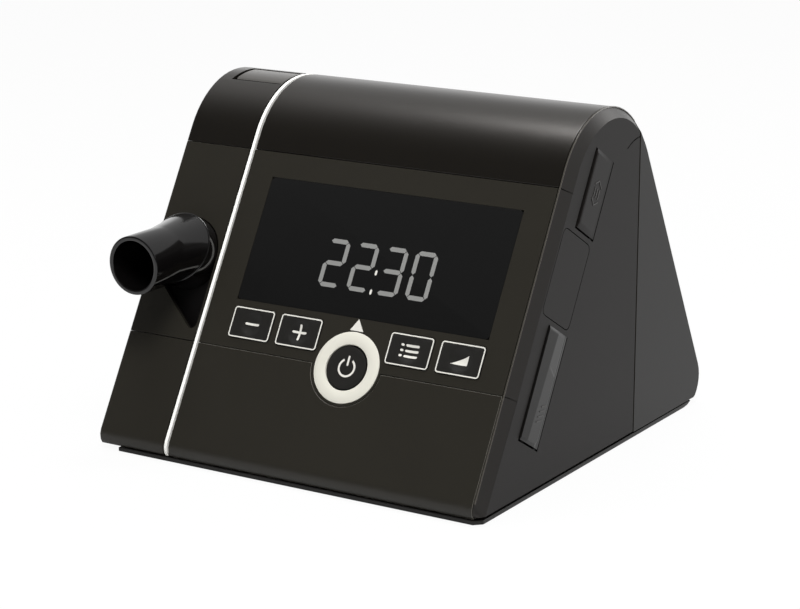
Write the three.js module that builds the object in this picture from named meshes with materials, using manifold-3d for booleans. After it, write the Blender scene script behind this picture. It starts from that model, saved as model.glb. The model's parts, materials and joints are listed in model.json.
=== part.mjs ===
// A bedside breathing-air machine: a wedge-shaped casing with a rounded crown, a display and
// keys on its sloping front, and a removable left end module that carries the air outlet elbow.
// Millimetres. +X is to the right seen from the front, +Y to the back, +Z up.
// The origin is under the middle of the object, on the surface that it stands on.

import * as THREE from 'three';
import * as BufferGeometryUtils from 'three/addons/utils/BufferGeometryUtils.js';
import Module from 'manifold-3d';

const wasm = await Module();
wasm.setup();

// Overall casing
const bodyWidth = 170;
const bodyDepth = 180;
const bodyHeight = 135;
const crownRadius = 36.7;
const crownY = 5.45;
const frontFootRadius = 5.4;
const rearFootRadius = 14;
const wall = 2.2;
const gap = 0.3;
const overrun = 20;
const leastRadius = 0.4;

// Seams, as distances up the front slope, and places across and along the casing
const lowerSeam = 49.4;
const upperSeam = 128.4;
const moduleWidth = 30.7;
const stripWidth = 2.4;
const stripDepth = 3;
const rearSeamY = 29;
const sidePanelThickness = 3.25;
const chamferInset = 5.6;
const moduleChamfer = 0.6;
const coverReturn = 4;
const panelReach = 12;
const seamGrooveWidth = 0.4;
const seamGrooveDepth = 0.7;

// Base plate and feet
const standOff = 0.4;
const baseTop = 2;
const baseLeftInset = 9;
const baseRightInset = 0.35;
const baseEdgeInset = 0.35;
const baseLipDepth = 8;
const footRadius = 6;
const footSink = 0.7;
const footInsetX = 19;
const footInsetFront = 20;
const footInsetRear = 26;

// Display window and what lies behind it
const windowMarginLeft = 11.9;
const windowMarginRight = 11.6;
const windowMarginTop = 10.4;
const keyBandHeight = 19.6;
const windowThickness = 1.3;
const windowLedge = 3;
const windowCornerRadius = 1.5;
const lcdWidth = 74;
const lcdHeight = 34;
const lcdThickness = 3;
const boardThickness = 1.6;
const displayBoardDepth = 8.2;
const displayBoardMargin = 2;

// Keys
const keyHeight = 12.2;
const keySpacing = 3.1;
const keyRise = 4.3;
const keyRingClearance = 15.1;
const keyCornerRadius = 1.3;
const keyProud = 0.35;
const keyDepth = 3;
const keyFlange = 0.8;
const keyFlangeThickness = 0.8;
const keyTravel = 0.6;
const dimpleRadius = 4.25;
const dimpleDepth = 0.7;
const dimpleOutShares = [0, 0.4, 0.75, 1];
const dimpleDownShares = [1, 0.85, 0.45, 0];
const matThickness = 1;
const matDomeRadius = 3.4;

// Power ring and power key
const ringOffsetX = 0.6;
const ringOffsetUp = 0.3;
const ringOuterRadius = 13.8;
const ringInnerRadius = 8.85;
const ringThickness = 0.9;
const ringProud = 0.15;
const tongueRadius = 14.8;
const powerKeyRadius = 8.2;
const powerKeyDepth = 3.2;
const powerKeyTravel = 0.8;

// Side doors and the smooth insert on the right end, as (up the slope, in from the front)
const doorNear = 14.2;
const doorFar = 30.3;
const upperDoorLow = 118.5;
const upperDoorHigh = 149.4;
const lowerDoorLow = 37.4;
const lowerDoorHigh = 80.7;
const doorProud = 1.2;
const doorBarrelRadius = 1.3;
const doorBevel = 1.1;
const doorRidgeIn = 8.3;
const doorNearRise = 0.6;
const doorPinRadius = 0.7;
const doorPinReach = 1.2;
const doorSwing = 0.15;
const doorBoss = 2;
const doorBossThickness = 1.9;
const insertLow = 83;
const insertHigh = 116.2;
const insertNear = 6.3;
const insertFar = 29.8;
const insertThickness = 0.9;
const insertCornerRadius = 2.6;
const cardSlotLength = 25;
const cardSlotWidth = 2.8;
const cardReaderDepth = 12;
const cardReaderMargin = 2;
const portLength = 8.4;
const portWidth = 3.2;
const portBodyDepth = 9;
const portBodyMargin = 3;
const tabMarkWidth = 0.5;
const tabMarkDepth = 0.5;
const tabMarkLength = 10.4;
const tabMarkDrop = 3;
const tabMarkBelowTop = 14.3;

// Air outlet elbow, its recess and its duct
const recessWall = 0.7;
const recessDepth = 4.4;
const recessUp = 83.5;
const recessFloorThickness = 1.6;
const recessLinerWall = 1;
const recessTailUp = 56.6;
const recessTailRadius = 2.4;
const recessTailGap = 0.8;
const hubGap = 0.35;
const hubHeight = 6.1;
const hubDome = 1.9;
const hubClearance = 0.3;
const tubeRadius = 11.4;
const tubeTaper = 0.3;
const boreRadius = 9.6;
const tubeCrossing = 3.3;
const tubeReach = 30.5;
const bendWall = 2;
const rimRound = 0.6;
const neckRadius = 11.3;
const neckRun = 0.25;
const neckLength = 5;
const sealWidth = 1.6;
const sealThickness = 1.4;
const ductDepth = 24;
const ductWall = 1.8;
const ductBoreRadius = 10.6;

// Docking bulkhead and nozzle
const bulkheadThickness = 2.2;
const bulkheadClearance = 0.3;
const nozzleRadius = 9;
const nozzleBoreRadius = 7.4;
const nozzleLength = 10;
const dockSealThickness = 1.1;
const dockSealWidth = 2.6;

// Release button
const buttonWidth = 23;
const buttonRightInset = 1.1;
const buttonBack = 2.9;
const buttonFront = -12.1;
const buttonSink = 0.25;
const buttonFlange = 0.9;
const buttonFlangeThickness = 1.2;
const buttonTravel = 2;
const tongueThickness = 2.4;
const tongueWidth = 7;
const tongueDrop = 12;
const tongueReach = 2.6;
const tongueSideRoom = 1.3;

// Blower
const blowerMargin = 7.85;
const blowerOffsetY = 4.55;
const volutePlateZ = 37;
const blowerPostRadius = 5;
const volutePlateThickness = 2;
const voluteRadius = 34;
const voluteHeight = 12.6;
const voluteWall = 1.8;
const volutePort = 16;
const lugReach = 27;
const lugRadius = 6;
const mountRadius = 4;
const mountHeight = 9;
const inletRadius = 12;
const inletCollarHeight = 5.5;
const impellerRadius = 26;
const impellerClearance = 1.2;
const impellerDisc = 1.4;
const impellerHubRadius = 5;
const bladeCount = 9;
const bladeThickness = 1.2;
const bladeInnerRadius = 12;
const bladeLeanShare = 0.35;
const shaftRadius = 1.9;
const shaftClearance = 0.3;
const motorRadius = 15;
const motorHeight = 13;
const foamWidth = 60;
const foamDepth = 56;
const foamHeight = 22;
const foamHoleClearance = 1.2;
const hoseBoreRadius = 7.6;
const hoseWall = 1.5;
const sensorWidth = 12;
const sensorHeight = 10;
const sensorDepth = 6;

// Main board on its posts
const mainBoardMarginLeft = 9.5;
const mainBoardMarginRight = 20;
const mainBoardMarginFront = 14;
const mainBoardGap = 3;
const mainBoardZ = 8;
const boardPostRadius = 3;
const boardPostInset = 5;

// Rear: filter bay and power inlet, in from the rear view's left and up the rear slope
const filterX = 15;
const filterUp = 72;
const filterWidth = 72;
const filterHeight = 46;
const filterCornerRadius = 0.9;
const filterFrameWall = 1.6;
const filterFrameDepth = 16;
const filterLip = 2.5;
const coarseFilterThickness = 6;
const fineFilterThickness = 3;
const louvreCount = 7;
const louvreWidth = 2.4;
const louvreMargin = 8;
const filterBarrelRadius = 1.1;
const filterStubRadius = 0.6;
const filterStubLength = 1.5;
const filterStubRun = 0.15;
const inletFromRight = 27;
const inletUp = 26;
const inletWidth = 18;
const inletHeight = 14;
const inletDepth = 14;
const inletSink = 1;
const inletBoreRadius = 3.4;
const inletPinRadius = 0.9;
const inletBoreDepth = 10;

// Roundness of circles, as numbers of steps
const crownSteps = 22;
const footSteps = 5;
const rearFootSteps = 10;
const fineSteps = 40;
const mediumSteps = 24;
const smallSteps = 12;
const cornerSteps = 3;
const hoseSteps = 9;
const hoseSides = 16;

const quarterTurn = Math.PI / 2;

// Materials, one for each finish
function finish(color, roughness, metalness = 0) {
  return new THREE.MeshStandardMaterial({ color, roughness, metalness });
}
const casing = finish(0x2d2a26, 0.55);
const sideCasing = finish(0x3b3a39, 0.5);
const basePlastic = finish(0x4a4844, 0.6);
const glossBlack = finish(0x0b0b0c, 0.12);
const windowBlack = finish(0x1d1d1e, 0.2);
const keyPlastic = finish(0x2a2826, 0.45);
const trimWhite = finish(0xebe8e1, 0.35);
const ringWhite = finish(0xe2dfd0, 0.4);
const rubber = finish(0x17171a, 0.85);
const siliconeGrey = finish(0x8a8c8e, 0.8);
const boardGreen = finish(0x1f5a38, 0.5);
const lcdGrey = finish(0x50545a, 0.25);
const innerPlastic = finish(0xb9bbbd, 0.5);
const steel = finish(0xb4b6b9, 0.3, 1);
const foam = finish(0x5d6066, 0.95);
const filterWhite = finish(0xdedfe0, 0.95);

// Solids and booleans
function solidOf(geometry) {
  const bare = geometry.clone();
  bare.deleteAttribute('normal');
  bare.deleteAttribute('uv');
  const merged = BufferGeometryUtils.mergeVertices(bare);
  const vertProperties = new Float32Array(merged.attributes.position.array);
  const triVerts = new Uint32Array(merged.index.array);
  return new wasm.Manifold(new wasm.Mesh({ numProp: 3, vertProperties, triVerts }));
}

function geometryOf(solid) {
  const mesh = solid.getMesh();
  const geometry = new THREE.BufferGeometry();
  geometry.setAttribute('position', new THREE.BufferAttribute(mesh.vertProperties, 3));
  geometry.setIndex(new THREE.BufferAttribute(mesh.triVerts, 1));
  geometry.computeVertexNormals();
  return geometry;
}

function join(...solids) {
  return solids.reduce((whole, next) => whole.add(next));
}

function cut(solid, ...cutters) {
  return cutters.reduce((rest, cutter) => rest.subtract(cutter), solid);
}

function common(...solids) {
  return solids.reduce((whole, next) => whole.intersect(next));
}

// The side outline: a hull of three circles, seen from the right as (y, z)
const frontFoot = { y: -bodyDepth / 2 + frontFootRadius, z: frontFootRadius, r: frontFootRadius };
const rearFoot = { y: bodyDepth / 2 - rearFootRadius, z: rearFootRadius, r: rearFootRadius };
const crown = { y: crownY, z: bodyHeight - crownRadius, r: crownRadius };

function tangentEdge(from, to) {
  const dy = to.y - from.y;
  const dz = to.z - from.z;
  const spread = Math.acos((from.r - to.r) / Math.hypot(dy, dz));
  const angle = Math.atan2(dz, dy) - spread;
  const offset = from.y * Math.cos(angle) + from.z * Math.sin(angle) + from.r;
  return { angle, offset };
}
const bottomEdge = tangentEdge(frontFoot, rearFoot);
const rearEdge = tangentEdge(rearFoot, crown);
const frontEdge = tangentEdge(crown, frontFoot);

function roundedCorner(before, after, beforeInset, afterInset, radius, steps) {
  const a = { angle: before.angle, offset: before.offset - beforeInset - radius };
  const b = { angle: after.angle, offset: after.offset - afterInset - radius };
  const det = Math.sin(b.angle - a.angle);
  const y = (a.offset * Math.sin(b.angle) - b.offset * Math.sin(a.angle)) / det;
  const z = (b.offset * Math.cos(a.angle) - a.offset * Math.cos(b.angle)) / det;
  const sweep = THREE.MathUtils.euclideanModulo(b.angle - a.angle, 2 * Math.PI);
  const points = [];
  for (let i = 0; i <= steps; i++) {
    const angle = a.angle + (sweep * i) / steps;
    points.push(new THREE.Vector2(y + radius * Math.cos(angle), z + radius * Math.sin(angle)));
  }
  return points;
}

function outline({ front = 0, rear = 0, bottom = 0 }) {
  const frontRadius = Math.max(frontFoot.r - Math.max(front, bottom), leastRadius);
  const rearRadius = Math.max(rearFoot.r - Math.max(rear, bottom), leastRadius);
  const topRadius = crown.r - (front + rear) / 2;
  return [
    ...roundedCorner(frontEdge, bottomEdge, front, bottom, frontRadius, footSteps),
    ...roundedCorner(bottomEdge, rearEdge, bottom, rear, rearRadius, rearFootSteps),
    ...roundedCorner(rearEdge, frontEdge, rear, front, topRadius, crownSteps),
  ];
}

function evenOutline(inset) {
  return outline({ front: inset, rear: inset, bottom: inset });
}

// Frames: the side view, the front slope and the rear slope
const sideFrame = new THREE.Matrix4().makeBasis(
  new THREE.Vector3(0, 1, 0),
  new THREE.Vector3(0, 0, 1),
  new THREE.Vector3(1, 0, 0),
);

function slopeFrame(edge, acrossSign) {
  const outward = new THREE.Vector3(0, Math.cos(edge.angle), Math.sin(edge.angle));
  const across = new THREE.Vector3(acrossSign, 0, 0);
  const up = new THREE.Vector3().crossVectors(outward, across);
  const frame = new THREE.Matrix4().makeBasis(across, up, outward);
  frame.setPosition(0, edge.offset / Math.cos(edge.angle), 0);
  return frame;
}
const frontFrame = slopeFrame(frontEdge, 1);
const rearFrame = slopeFrame(rearEdge, -1);
const rearSection = rearFrame.clone().multiply(sideFrame);

function slopePoint(up, inward) {
  const point = new THREE.Vector3(0, up, -inward).applyMatrix4(frontFrame);
  return new THREE.Vector2(point.y, point.z);
}

// Prisms: an outline pushed along its frame's third axis
function prism(points, low, high, frame) {
  const shape = new THREE.Shape(points);
  const geometry = new THREE.ExtrudeGeometry(shape, { depth: high - low, bevelEnabled: false });
  geometry.translate(0, 0, low);
  if (frame) geometry.applyMatrix4(frame);
  return solidOf(geometry);
}

function across(points, left, right) {
  return prism(points, left, right, sideFrame);
}

function rectangle(left, low, right, high) {
  return [
    new THREE.Vector2(left, low),
    new THREE.Vector2(right, low),
    new THREE.Vector2(right, high),
    new THREE.Vector2(left, high),
  ];
}

function arcPoints(x, y, radius, from, to, steps) {
  const points = [];
  for (let i = 0; i <= steps; i++) {
    const angle = from + ((to - from) * i) / steps;
    points.push(new THREE.Vector2(x + radius * Math.cos(angle), y + radius * Math.sin(angle)));
  }
  return points;
}

function circle(x, y, radius, steps) {
  return arcPoints(x, y, radius, 0, 2 * Math.PI, steps).slice(0, -1);
}

function roundedRectangle(left, low, right, high, radius) {
  const corners = [
    [right - radius, high - radius],
    [left + radius, high - radius],
    [left + radius, low + radius],
    [right - radius, low + radius],
  ];
  return corners.flatMap(([x, y], i) => {
    return arcPoints(x, y, radius, i * quarterTurn, (i + 1) * quarterTurn, cornerSteps);
  });
}

function block(left, front, low, right, back, high) {
  return prism(rectangle(left, front, right, back), low, high);
}

function slopeSlab(low, high, depth, frame = frontFrame) {
  return prism(rectangle(-bodyWidth, low, bodyWidth, high), -depth, overrun, frame);
}

// Places that follow from the sizes above
const farUp = bodyDepth + bodyHeight;
const leftEnd = -bodyWidth / 2;
const rightEnd = bodyWidth / 2;
const stripLeft = leftEnd + moduleWidth;
const stripRight = stripLeft + stripWidth;
const panelLeft = stripRight;
const panelRight = rightEnd - sidePanelThickness;
const panelCentre = (panelLeft + panelRight) / 2;
const windowLeft = panelLeft + windowMarginLeft;
const windowRight = panelRight - windowMarginRight;
const windowLow = lowerSeam + keyBandHeight;
const windowHigh = upperSeam - windowMarginTop;
const ringX = panelCentre + ringOffsetX;
const ringUp = lowerSeam + ringOffsetUp;
const keyLow = lowerSeam + keyRise;
const inletX = rightEnd - inletFromRight;
const keyRowReach = (windowRight - windowLeft) / 2;
const keyWidth = (keyRowReach - keyRingClearance - keySpacing) / 2;
const keyPitch = keyWidth + keySpacing;
const casingFloor = baseTop + gap;
const ringLeft = stripRight + gap / 2;
const ringRight = panelRight - gap / 2;
const blowerX = panelRight - doorBossThickness - blowerMargin - voluteRadius;
const blowerY = crownY + blowerOffsetY;
const mainBoardLeft = ringLeft + bulkheadThickness + mainBoardMarginLeft;
const mainBoardRight = panelRight - doorBossThickness - mainBoardMarginRight;
const mainBoardFront = -bodyDepth / 2 + mainBoardMarginFront;
const mainBoardBack = blowerY - lugReach - lugRadius - mainBoardGap;

function aboveFloor(solid) {
  return cut(solid, block(-bodyWidth, -bodyDepth, -overrun, bodyWidth, bodyDepth, casingFloor));
}

function frontOfRearSeam() {
  return block(-bodyWidth, -bodyDepth, -overrun, bodyWidth, rearSeamY - gap / 2, bodyHeight + overrun);
}

function behindRearSeam() {
  return block(-bodyWidth, rearSeamY + gap / 2, -overrun, bodyWidth, bodyDepth, bodyHeight + overrun);
}

// A tapering slice between two outlines of the same number of points
function taperedSlice(nearPoints, nearX, farPoints, farX) {
  const count = nearPoints.length;
  const positions = [];
  for (const point of nearPoints) positions.push(nearX, point.x, point.y);
  for (const point of farPoints) positions.push(farX, point.x, point.y);
  const index = [];
  for (let i = 0; i < count; i++) {
    const j = (i + 1) % count;
    index.push(i, j, count + i, j, count + j, count + i);
  }
  for (const [a, b, c] of THREE.ShapeUtils.triangulateShape(nearPoints, [])) {
    index.push(a, c, b, count + a, count + b, count + c);
  }
  const geometry = new THREE.BufferGeometry();
  geometry.setAttribute('position', new THREE.Float32BufferAttribute(positions, 3));
  geometry.setIndex(nearX < farX ? index : index.toReversed());
  return solidOf(geometry);
}

// Main casing shells
function casingRing(left, right) {
  const outer = across(evenOutline(0), left, right);
  return cut(outer, across(evenOutline(wall), left - overrun, right + overrun));
}

function rightCap(left) {
  const rim = outline({ front: chamferInset, rear: chamferInset / 2, bottom: 0 });
  const slice = taperedSlice(evenOutline(0), panelRight + gap / 2, rim, rightEnd);
  return left < panelRight ? join(across(evenOutline(0), left, panelRight + gap), slice) : slice;
}

function topCover() {
  const ring = casingRing(ringLeft, ringRight);
  return common(ring, slopeSlab(upperSeam + gap / 2, farUp, bodyDepth), frontOfRearSeam());
}

function keyHole(left) {
  const outlinePoints = roundedRectangle(
    left - gap,
    keyLow - gap,
    left + keyWidth + gap,
    keyLow + keyHeight + gap,
    keyCornerRadius + gap,
  );
  return prism(outlinePoints, -wall - overrun, overrun, frontFrame);
}

const keyLefts = {
  key_minus: ringX - keyRingClearance - keyWidth - keyPitch,
  key_plus: ringX - keyRingClearance - keyWidth,
  key_menu: ringX + keyRingClearance,
  key_ramp: ringX + keyRingClearance + keyPitch,
};

function frontPanel() {
  const ring = casingRing(ringLeft, ringRight);
  const band = slopeSlab(lowerSeam + gap / 2, upperSeam - gap / 2, panelReach);
  const tongue = prism(circle(ringX, ringUp, tongueRadius, fineSteps), -wall, 0, frontFrame);
  const ledge = rectangle(windowLeft - gap, windowLow - gap, windowRight + gap, windowHigh + gap);
  const view = rectangle(
    windowLeft + windowLedge,
    windowLow + windowLedge,
    windowRight - windowLedge,
    windowHigh - windowLedge,
  );
  const ringSeat = circle(ringX, ringUp, ringOuterRadius + gap / 2, fineSteps);
  const keySeat = circle(ringX, ringUp, powerKeyRadius + gap, fineSteps);
  return cut(
    join(common(ring, band), tongue),
    prism(ledge, -windowThickness - gap / 2, overrun, frontFrame),
    prism(view, -wall - overrun, overrun, frontFrame),
    prism(ringSeat, ringProud - ringThickness - gap / 2, overrun, frontFrame),
    prism(keySeat, -wall - overrun, overrun, frontFrame),
    ...Object.values(keyLefts).map(keyHole),
  );
}

function lowerFrontPanel() {
  const ring = casingRing(ringLeft, ringRight);
  const band = slopeSlab(-overrun, lowerSeam - gap / 2, bodyDepth / 2);
  const notch = prism(
    circle(ringX, ringUp, tongueRadius + gap, fineSteps),
    -wall - overrun,
    overrun,
    frontFrame,
  );
  return cut(aboveFloor(common(ring, band, frontOfRearSeam())), notch);
}

function doorPocket(low, high) {
  const near = doorNear - gap;
  const far = doorFar + gap;
  const corners = [
    slopePoint(low - gap, near),
    slopePoint(low - gap, far),
    slopePoint(high + gap, far),
    slopePoint(high + gap, near),
  ];
  return across(corners, doorInnerX - gap, rightEnd + overrun);
}

function doorBacking(low, high) {
  const near = doorNear - doorBoss;
  const far = doorFar + doorBoss;
  const corners = [
    slopePoint(low - doorBoss - doorPinReach, near),
    slopePoint(low - doorBoss - doorPinReach, far),
    slopePoint(high + doorBoss + doorPinReach, far),
    slopePoint(high + doorBoss + doorPinReach, near),
  ];
  return across(corners, panelRight + gap / 2 - doorBossThickness, panelRight + gap);
}

const doorAxisX = rightEnd + doorProud - doorBarrelRadius - doorBevel;
const doorInnerX = doorAxisX - doorBarrelRadius;
const doorAxisIn = doorFar - doorBarrelRadius;

function rodUpSlope(radius, x, inward, low, high, steps = smallSteps) {
  const geometry = new THREE.CylinderGeometry(radius, radius, high - low, steps);
  geometry.translate(x, (low + high) / 2, -inward);
  return solidOf(geometry.applyMatrix4(frontFrame));
}

function doorPinHole(low, high) {
  const radius = doorPinRadius + doorSwing;
  const reach = doorPinReach + gap;
  return rodUpSlope(radius, doorAxisX, doorAxisIn, low - reach, high + reach);
}

const upperDoorMiddle = (upperDoorLow + upperDoorHigh) / 2;
const lowerDoorMiddle = (lowerDoorLow + lowerDoorHigh) / 2;
const doorMiddleIn = (doorNear + doorFar) / 2;

function slotCutter(middle, length, width) {
  const corners = [
    slopePoint(middle - length / 2, doorMiddleIn - width / 2),
    slopePoint(middle - length / 2, doorMiddleIn + width / 2),
    slopePoint(middle + length / 2, doorMiddleIn + width / 2),
    slopePoint(middle + length / 2, doorMiddleIn - width / 2),
  ];
  return across(corners, panelRight - overrun, rightEnd + overrun);
}

function insertOutline(clearance) {
  return roundedRectangle(
    insertLow - clearance,
    insertNear - clearance,
    insertHigh + clearance,
    insertFar + clearance,
    insertCornerRadius + clearance,
  ).map((point) => slopePoint(point.x, point.y));
}

function seamGroove(up) {
  const startX = panelRight - seamGrooveWidth;
  const points = [
    new THREE.Vector2(startX, seamGrooveDepth),
    new THREE.Vector2(startX, -seamGrooveDepth),
    new THREE.Vector2(rightEnd + gap, -chamferInset - seamGrooveDepth),
    new THREE.Vector2(rightEnd + gap, seamGrooveDepth),
  ];
  const geometry = new THREE.ExtrudeGeometry(new THREE.Shape(points), {
    depth: seamGrooveWidth,
    bevelEnabled: false,
  });
  const frame = new THREE.Matrix4().makeBasis(
    new THREE.Vector3(1, 0, 0),
    new THREE.Vector3(0, 0, 1),
    new THREE.Vector3(0, -1, 0),
  );
  geometry.applyMatrix4(frame);
  geometry.translate(0, up + seamGrooveWidth / 2, 0);
  return solidOf(geometry.applyMatrix4(frontFrame));
}

// A short curved mark beside the top of the rear seam
function tabMark() {
  const top = bodyHeight - tabMarkBelowTop;
  const start = new THREE.Vector2(rearSeamY - tabMarkLength, top - tabMarkDrop);
  const bend = new THREE.Vector2(rearSeamY - tabMarkLength / 2, top);
  const end = new THREE.Vector2(rearSeamY + gap, top);
  const curve = new THREE.QuadraticBezierCurve(start, bend, end);
  const upper = curve.getPoints(cornerSteps * 2);
  const lower = upper.map((point) => new THREE.Vector2(point.x, point.y - tabMarkWidth));
  return across([...lower, ...upper.reverse()], rightEnd - tabMarkDepth, rightEnd + overrun);
}

function rightSidePanel() {
  const cap = aboveFloor(common(rightCap(rightEnd), frontOfRearSeam()));
  return cut(
    join(cap, doorBacking(upperDoorLow, upperDoorHigh), doorBacking(lowerDoorLow, lowerDoorHigh)),
    doorPocket(upperDoorLow, upperDoorHigh),
    doorPocket(lowerDoorLow, lowerDoorHigh),
    doorPinHole(upperDoorLow, upperDoorHigh),
    doorPinHole(lowerDoorLow, lowerDoorHigh),
    slotCutter(upperDoorMiddle, cardSlotLength, cardSlotWidth),
    slotCutter(lowerDoorMiddle, portLength, portWidth),
    across(insertOutline(gap / 2), rightEnd - insertThickness - gap / 2, rightEnd + overrun),
    seamGroove(lowerSeam),
    seamGroove(upperSeam),
    tabMark(),
  );
}

function sideInsert() {
  return across(insertOutline(-gap / 2), rightEnd - insertThickness, rightEnd);
}

// A door: a plate with a round hinge edge and a raised, ridged face
function door(low, high) {
  const outerX = rightEnd + doorProud;
  const plateTop = doorAxisX + doorBarrelRadius;
  const flatEnd = doorAxisIn - (rightEnd - doorAxisX) - gap / 2;
  const section = [
    new THREE.Vector2(doorNear, doorInnerX),
    ...arcPoints(doorAxisIn, doorAxisX, doorBarrelRadius, -quarterTurn, quarterTurn, smallSteps / 2),
    new THREE.Vector2(flatEnd, plateTop),
    new THREE.Vector2(doorNear + doorRidgeIn, outerX),
    new THREE.Vector2(doorNear + doorBevel, plateTop + doorNearRise),
    new THREE.Vector2(doorNear, plateTop),
  ];
  const geometry = new THREE.ExtrudeGeometry(new THREE.Shape(section), {
    depth: high - low,
    bevelEnabled: false,
  });
  const frame = new THREE.Matrix4().makeBasis(
    new THREE.Vector3(0, 0, -1),
    new THREE.Vector3(1, 0, 0),
    new THREE.Vector3(0, -1, 0),
  );
  geometry.applyMatrix4(frame);
  geometry.translate(0, high, 0);
  const body = solidOf(geometry.applyMatrix4(frontFrame));
  const radius = doorPinRadius + doorSwing;
  return cut(body, rodUpSlope(radius, doorAxisX, doorAxisIn, low - overrun, high + overrun));
}

function doorPin(low, high) {
  return rodUpSlope(doorPinRadius, doorAxisX, doorAxisIn, low - doorPinReach, high + doorPinReach);
}

function socketBody(middle, length, width, margin, depth) {
  const corners = [
    slopePoint(middle - length / 2 - margin, doorMiddleIn - width / 2 - margin),
    slopePoint(middle - length / 2 - margin, doorMiddleIn + width / 2 + margin),
    slopePoint(middle + length / 2 + margin, doorMiddleIn + width / 2 + margin),
    slopePoint(middle + length / 2 + margin, doorMiddleIn - width / 2 - margin),
  ];
  const outerX = panelRight - doorBossThickness - gap / 2;
  const body = across(corners, outerX - depth, outerX);
  const cavity = slotCutter(middle, length, width);
  const limit = block(outerX - depth + margin, -bodyDepth, 0, rightEnd + overrun, bodyDepth, bodyHeight);
  return cut(body, common(cavity, limit));
}

// Rear housing with its filter bay and power inlet hole
const filterLeft = -filterX - filterWidth / 2;
const filterLow = filterUp - filterHeight / 2;
const filterAxisDepth = filterBarrelRadius;

function filterOutline(grow) {
  return roundedRectangle(
    filterLeft - grow,
    filterLow - grow,
    filterLeft + filterWidth + grow,
    filterLow + filterHeight + grow,
    filterCornerRadius,
  );
}

function inletOutline(grow) {
  const left = -inletX - inletWidth / 2;
  const low = inletUp - inletHeight / 2;
  return rectangle(left - grow, low - grow, left + inletWidth + grow, low + inletHeight + grow);
}

function filterBay() {
  const frame = prism(filterOutline(gap + filterFrameWall), -filterFrameDepth, -wall / 2, rearFrame);
  const bay = prism(filterOutline(gap), -filterFrameDepth + filterLip, 0, rearFrame);
  const mouth = prism(filterOutline(-filterLip), -filterFrameDepth - overrun, 0, rearFrame);
  return cut(frame, bay, mouth);
}

function stubHoles() {
  const radius = filterStubRadius + filterStubRun;
  const reach = filterStubLength + gap;
  return rearRod(radius, filterLeft - reach, filterLeft + filterWidth + reach);
}

function rearRod(radius, left, right) {
  const geometry = new THREE.CylinderGeometry(radius, radius, right - left, smallSteps);
  geometry.rotateZ(quarterTurn);
  geometry.translate((left + right) / 2, filterLow + filterBarrelRadius, -filterAxisDepth);
  return solidOf(geometry.applyMatrix4(rearFrame));
}

function rearHousing() {
  const outer = rightCap(ringLeft);
  const hollow = across(evenOutline(wall), ringLeft - overrun, panelRight);
  const shell = aboveFloor(common(cut(outer, hollow), behindRearSeam()));
  const opened = cut(
    shell,
    prism(filterOutline(gap), -wall - overrun, overrun, rearFrame),
    prism(inletOutline(gap), -wall - overrun, overrun, rearFrame),
  );
  return cut(join(opened, filterBay()), stubHoles());
}

function filterCover() {
  const hingeUp = filterLow + filterBarrelRadius;
  const high = filterLow + filterHeight;
  const section = [
    new THREE.Vector2(high, -2 * filterBarrelRadius),
    new THREE.Vector2(high, 0),
    ...arcPoints(
      hingeUp,
      -filterAxisDepth,
      filterBarrelRadius,
      quarterTurn,
      3 * quarterTurn,
      cornerSteps * 2,
    ),
  ];
  const plate = prism(section, filterLeft, filterLeft + filterWidth, rearSection);
  const stubs = rearRod(
    filterStubRadius,
    filterLeft - filterStubLength,
    filterLeft + filterWidth + filterStubLength,
  );
  const pitch = (filterHeight - 2 * louvreMargin) / (louvreCount - 1);
  const louvres = Array.from({ length: louvreCount }, (_, i) => {
    const low = filterLow + louvreMargin + i * pitch - louvreWidth / 2;
    const right = filterLeft + filterWidth - louvreMargin;
    const slot = rectangle(filterLeft + louvreMargin, low, right, low + louvreWidth);
    return prism(slot, -wall - overrun, overrun, rearFrame);
  });
  return cut(join(plate, stubs), ...louvres);
}

function filterPad(thickness, depth) {
  return prism(filterOutline(0), -depth - thickness, -depth, rearFrame);
}

function powerInlet() {
  const body = prism(inletOutline(0), -inletDepth, -inletSink, rearFrame);
  const bore = prism(
    circle(-inletX, inletUp, inletBoreRadius, mediumSteps),
    -inletBoreDepth - inletSink,
    overrun,
    rearFrame,
  );
  const pin = prism(
    circle(-inletX, inletUp, inletPinRadius, smallSteps),
    -inletBoreDepth - inletSink - wall,
    -inletSink - gap,
    rearFrame,
  );
  return join(cut(body, bore), pin);
}

// Base plate with four foot recesses and four board posts
const footXs = [leftEnd + footInsetX, rightEnd - footInsetX];
const footYs = [-bodyDepth / 2 + footInsetFront, bodyDepth / 2 - footInsetRear];
const footPlaces = footXs.flatMap((x) => footYs.map((y) => ({ x, y })));
const boardPostXs = [mainBoardLeft + boardPostInset, mainBoardRight - boardPostInset];
const boardPostYs = [mainBoardFront + boardPostInset, mainBoardBack - boardPostInset];

// The base seen from above. Its front right corner follows the rim of the side panel.
function basePlan() {
  const left = leftEnd + baseLeftInset;
  const right = rightEnd - baseRightInset;
  const front = baseEdgeInset - bodyDepth / 2;
  return [
    new THREE.Vector2(left, front),
    new THREE.Vector2(panelRight, front),
    new THREE.Vector2(right, front + chamferInset / 2),
    new THREE.Vector2(right, bodyDepth / 2),
    new THREE.Vector2(left, bodyDepth / 2),
  ];
}

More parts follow.
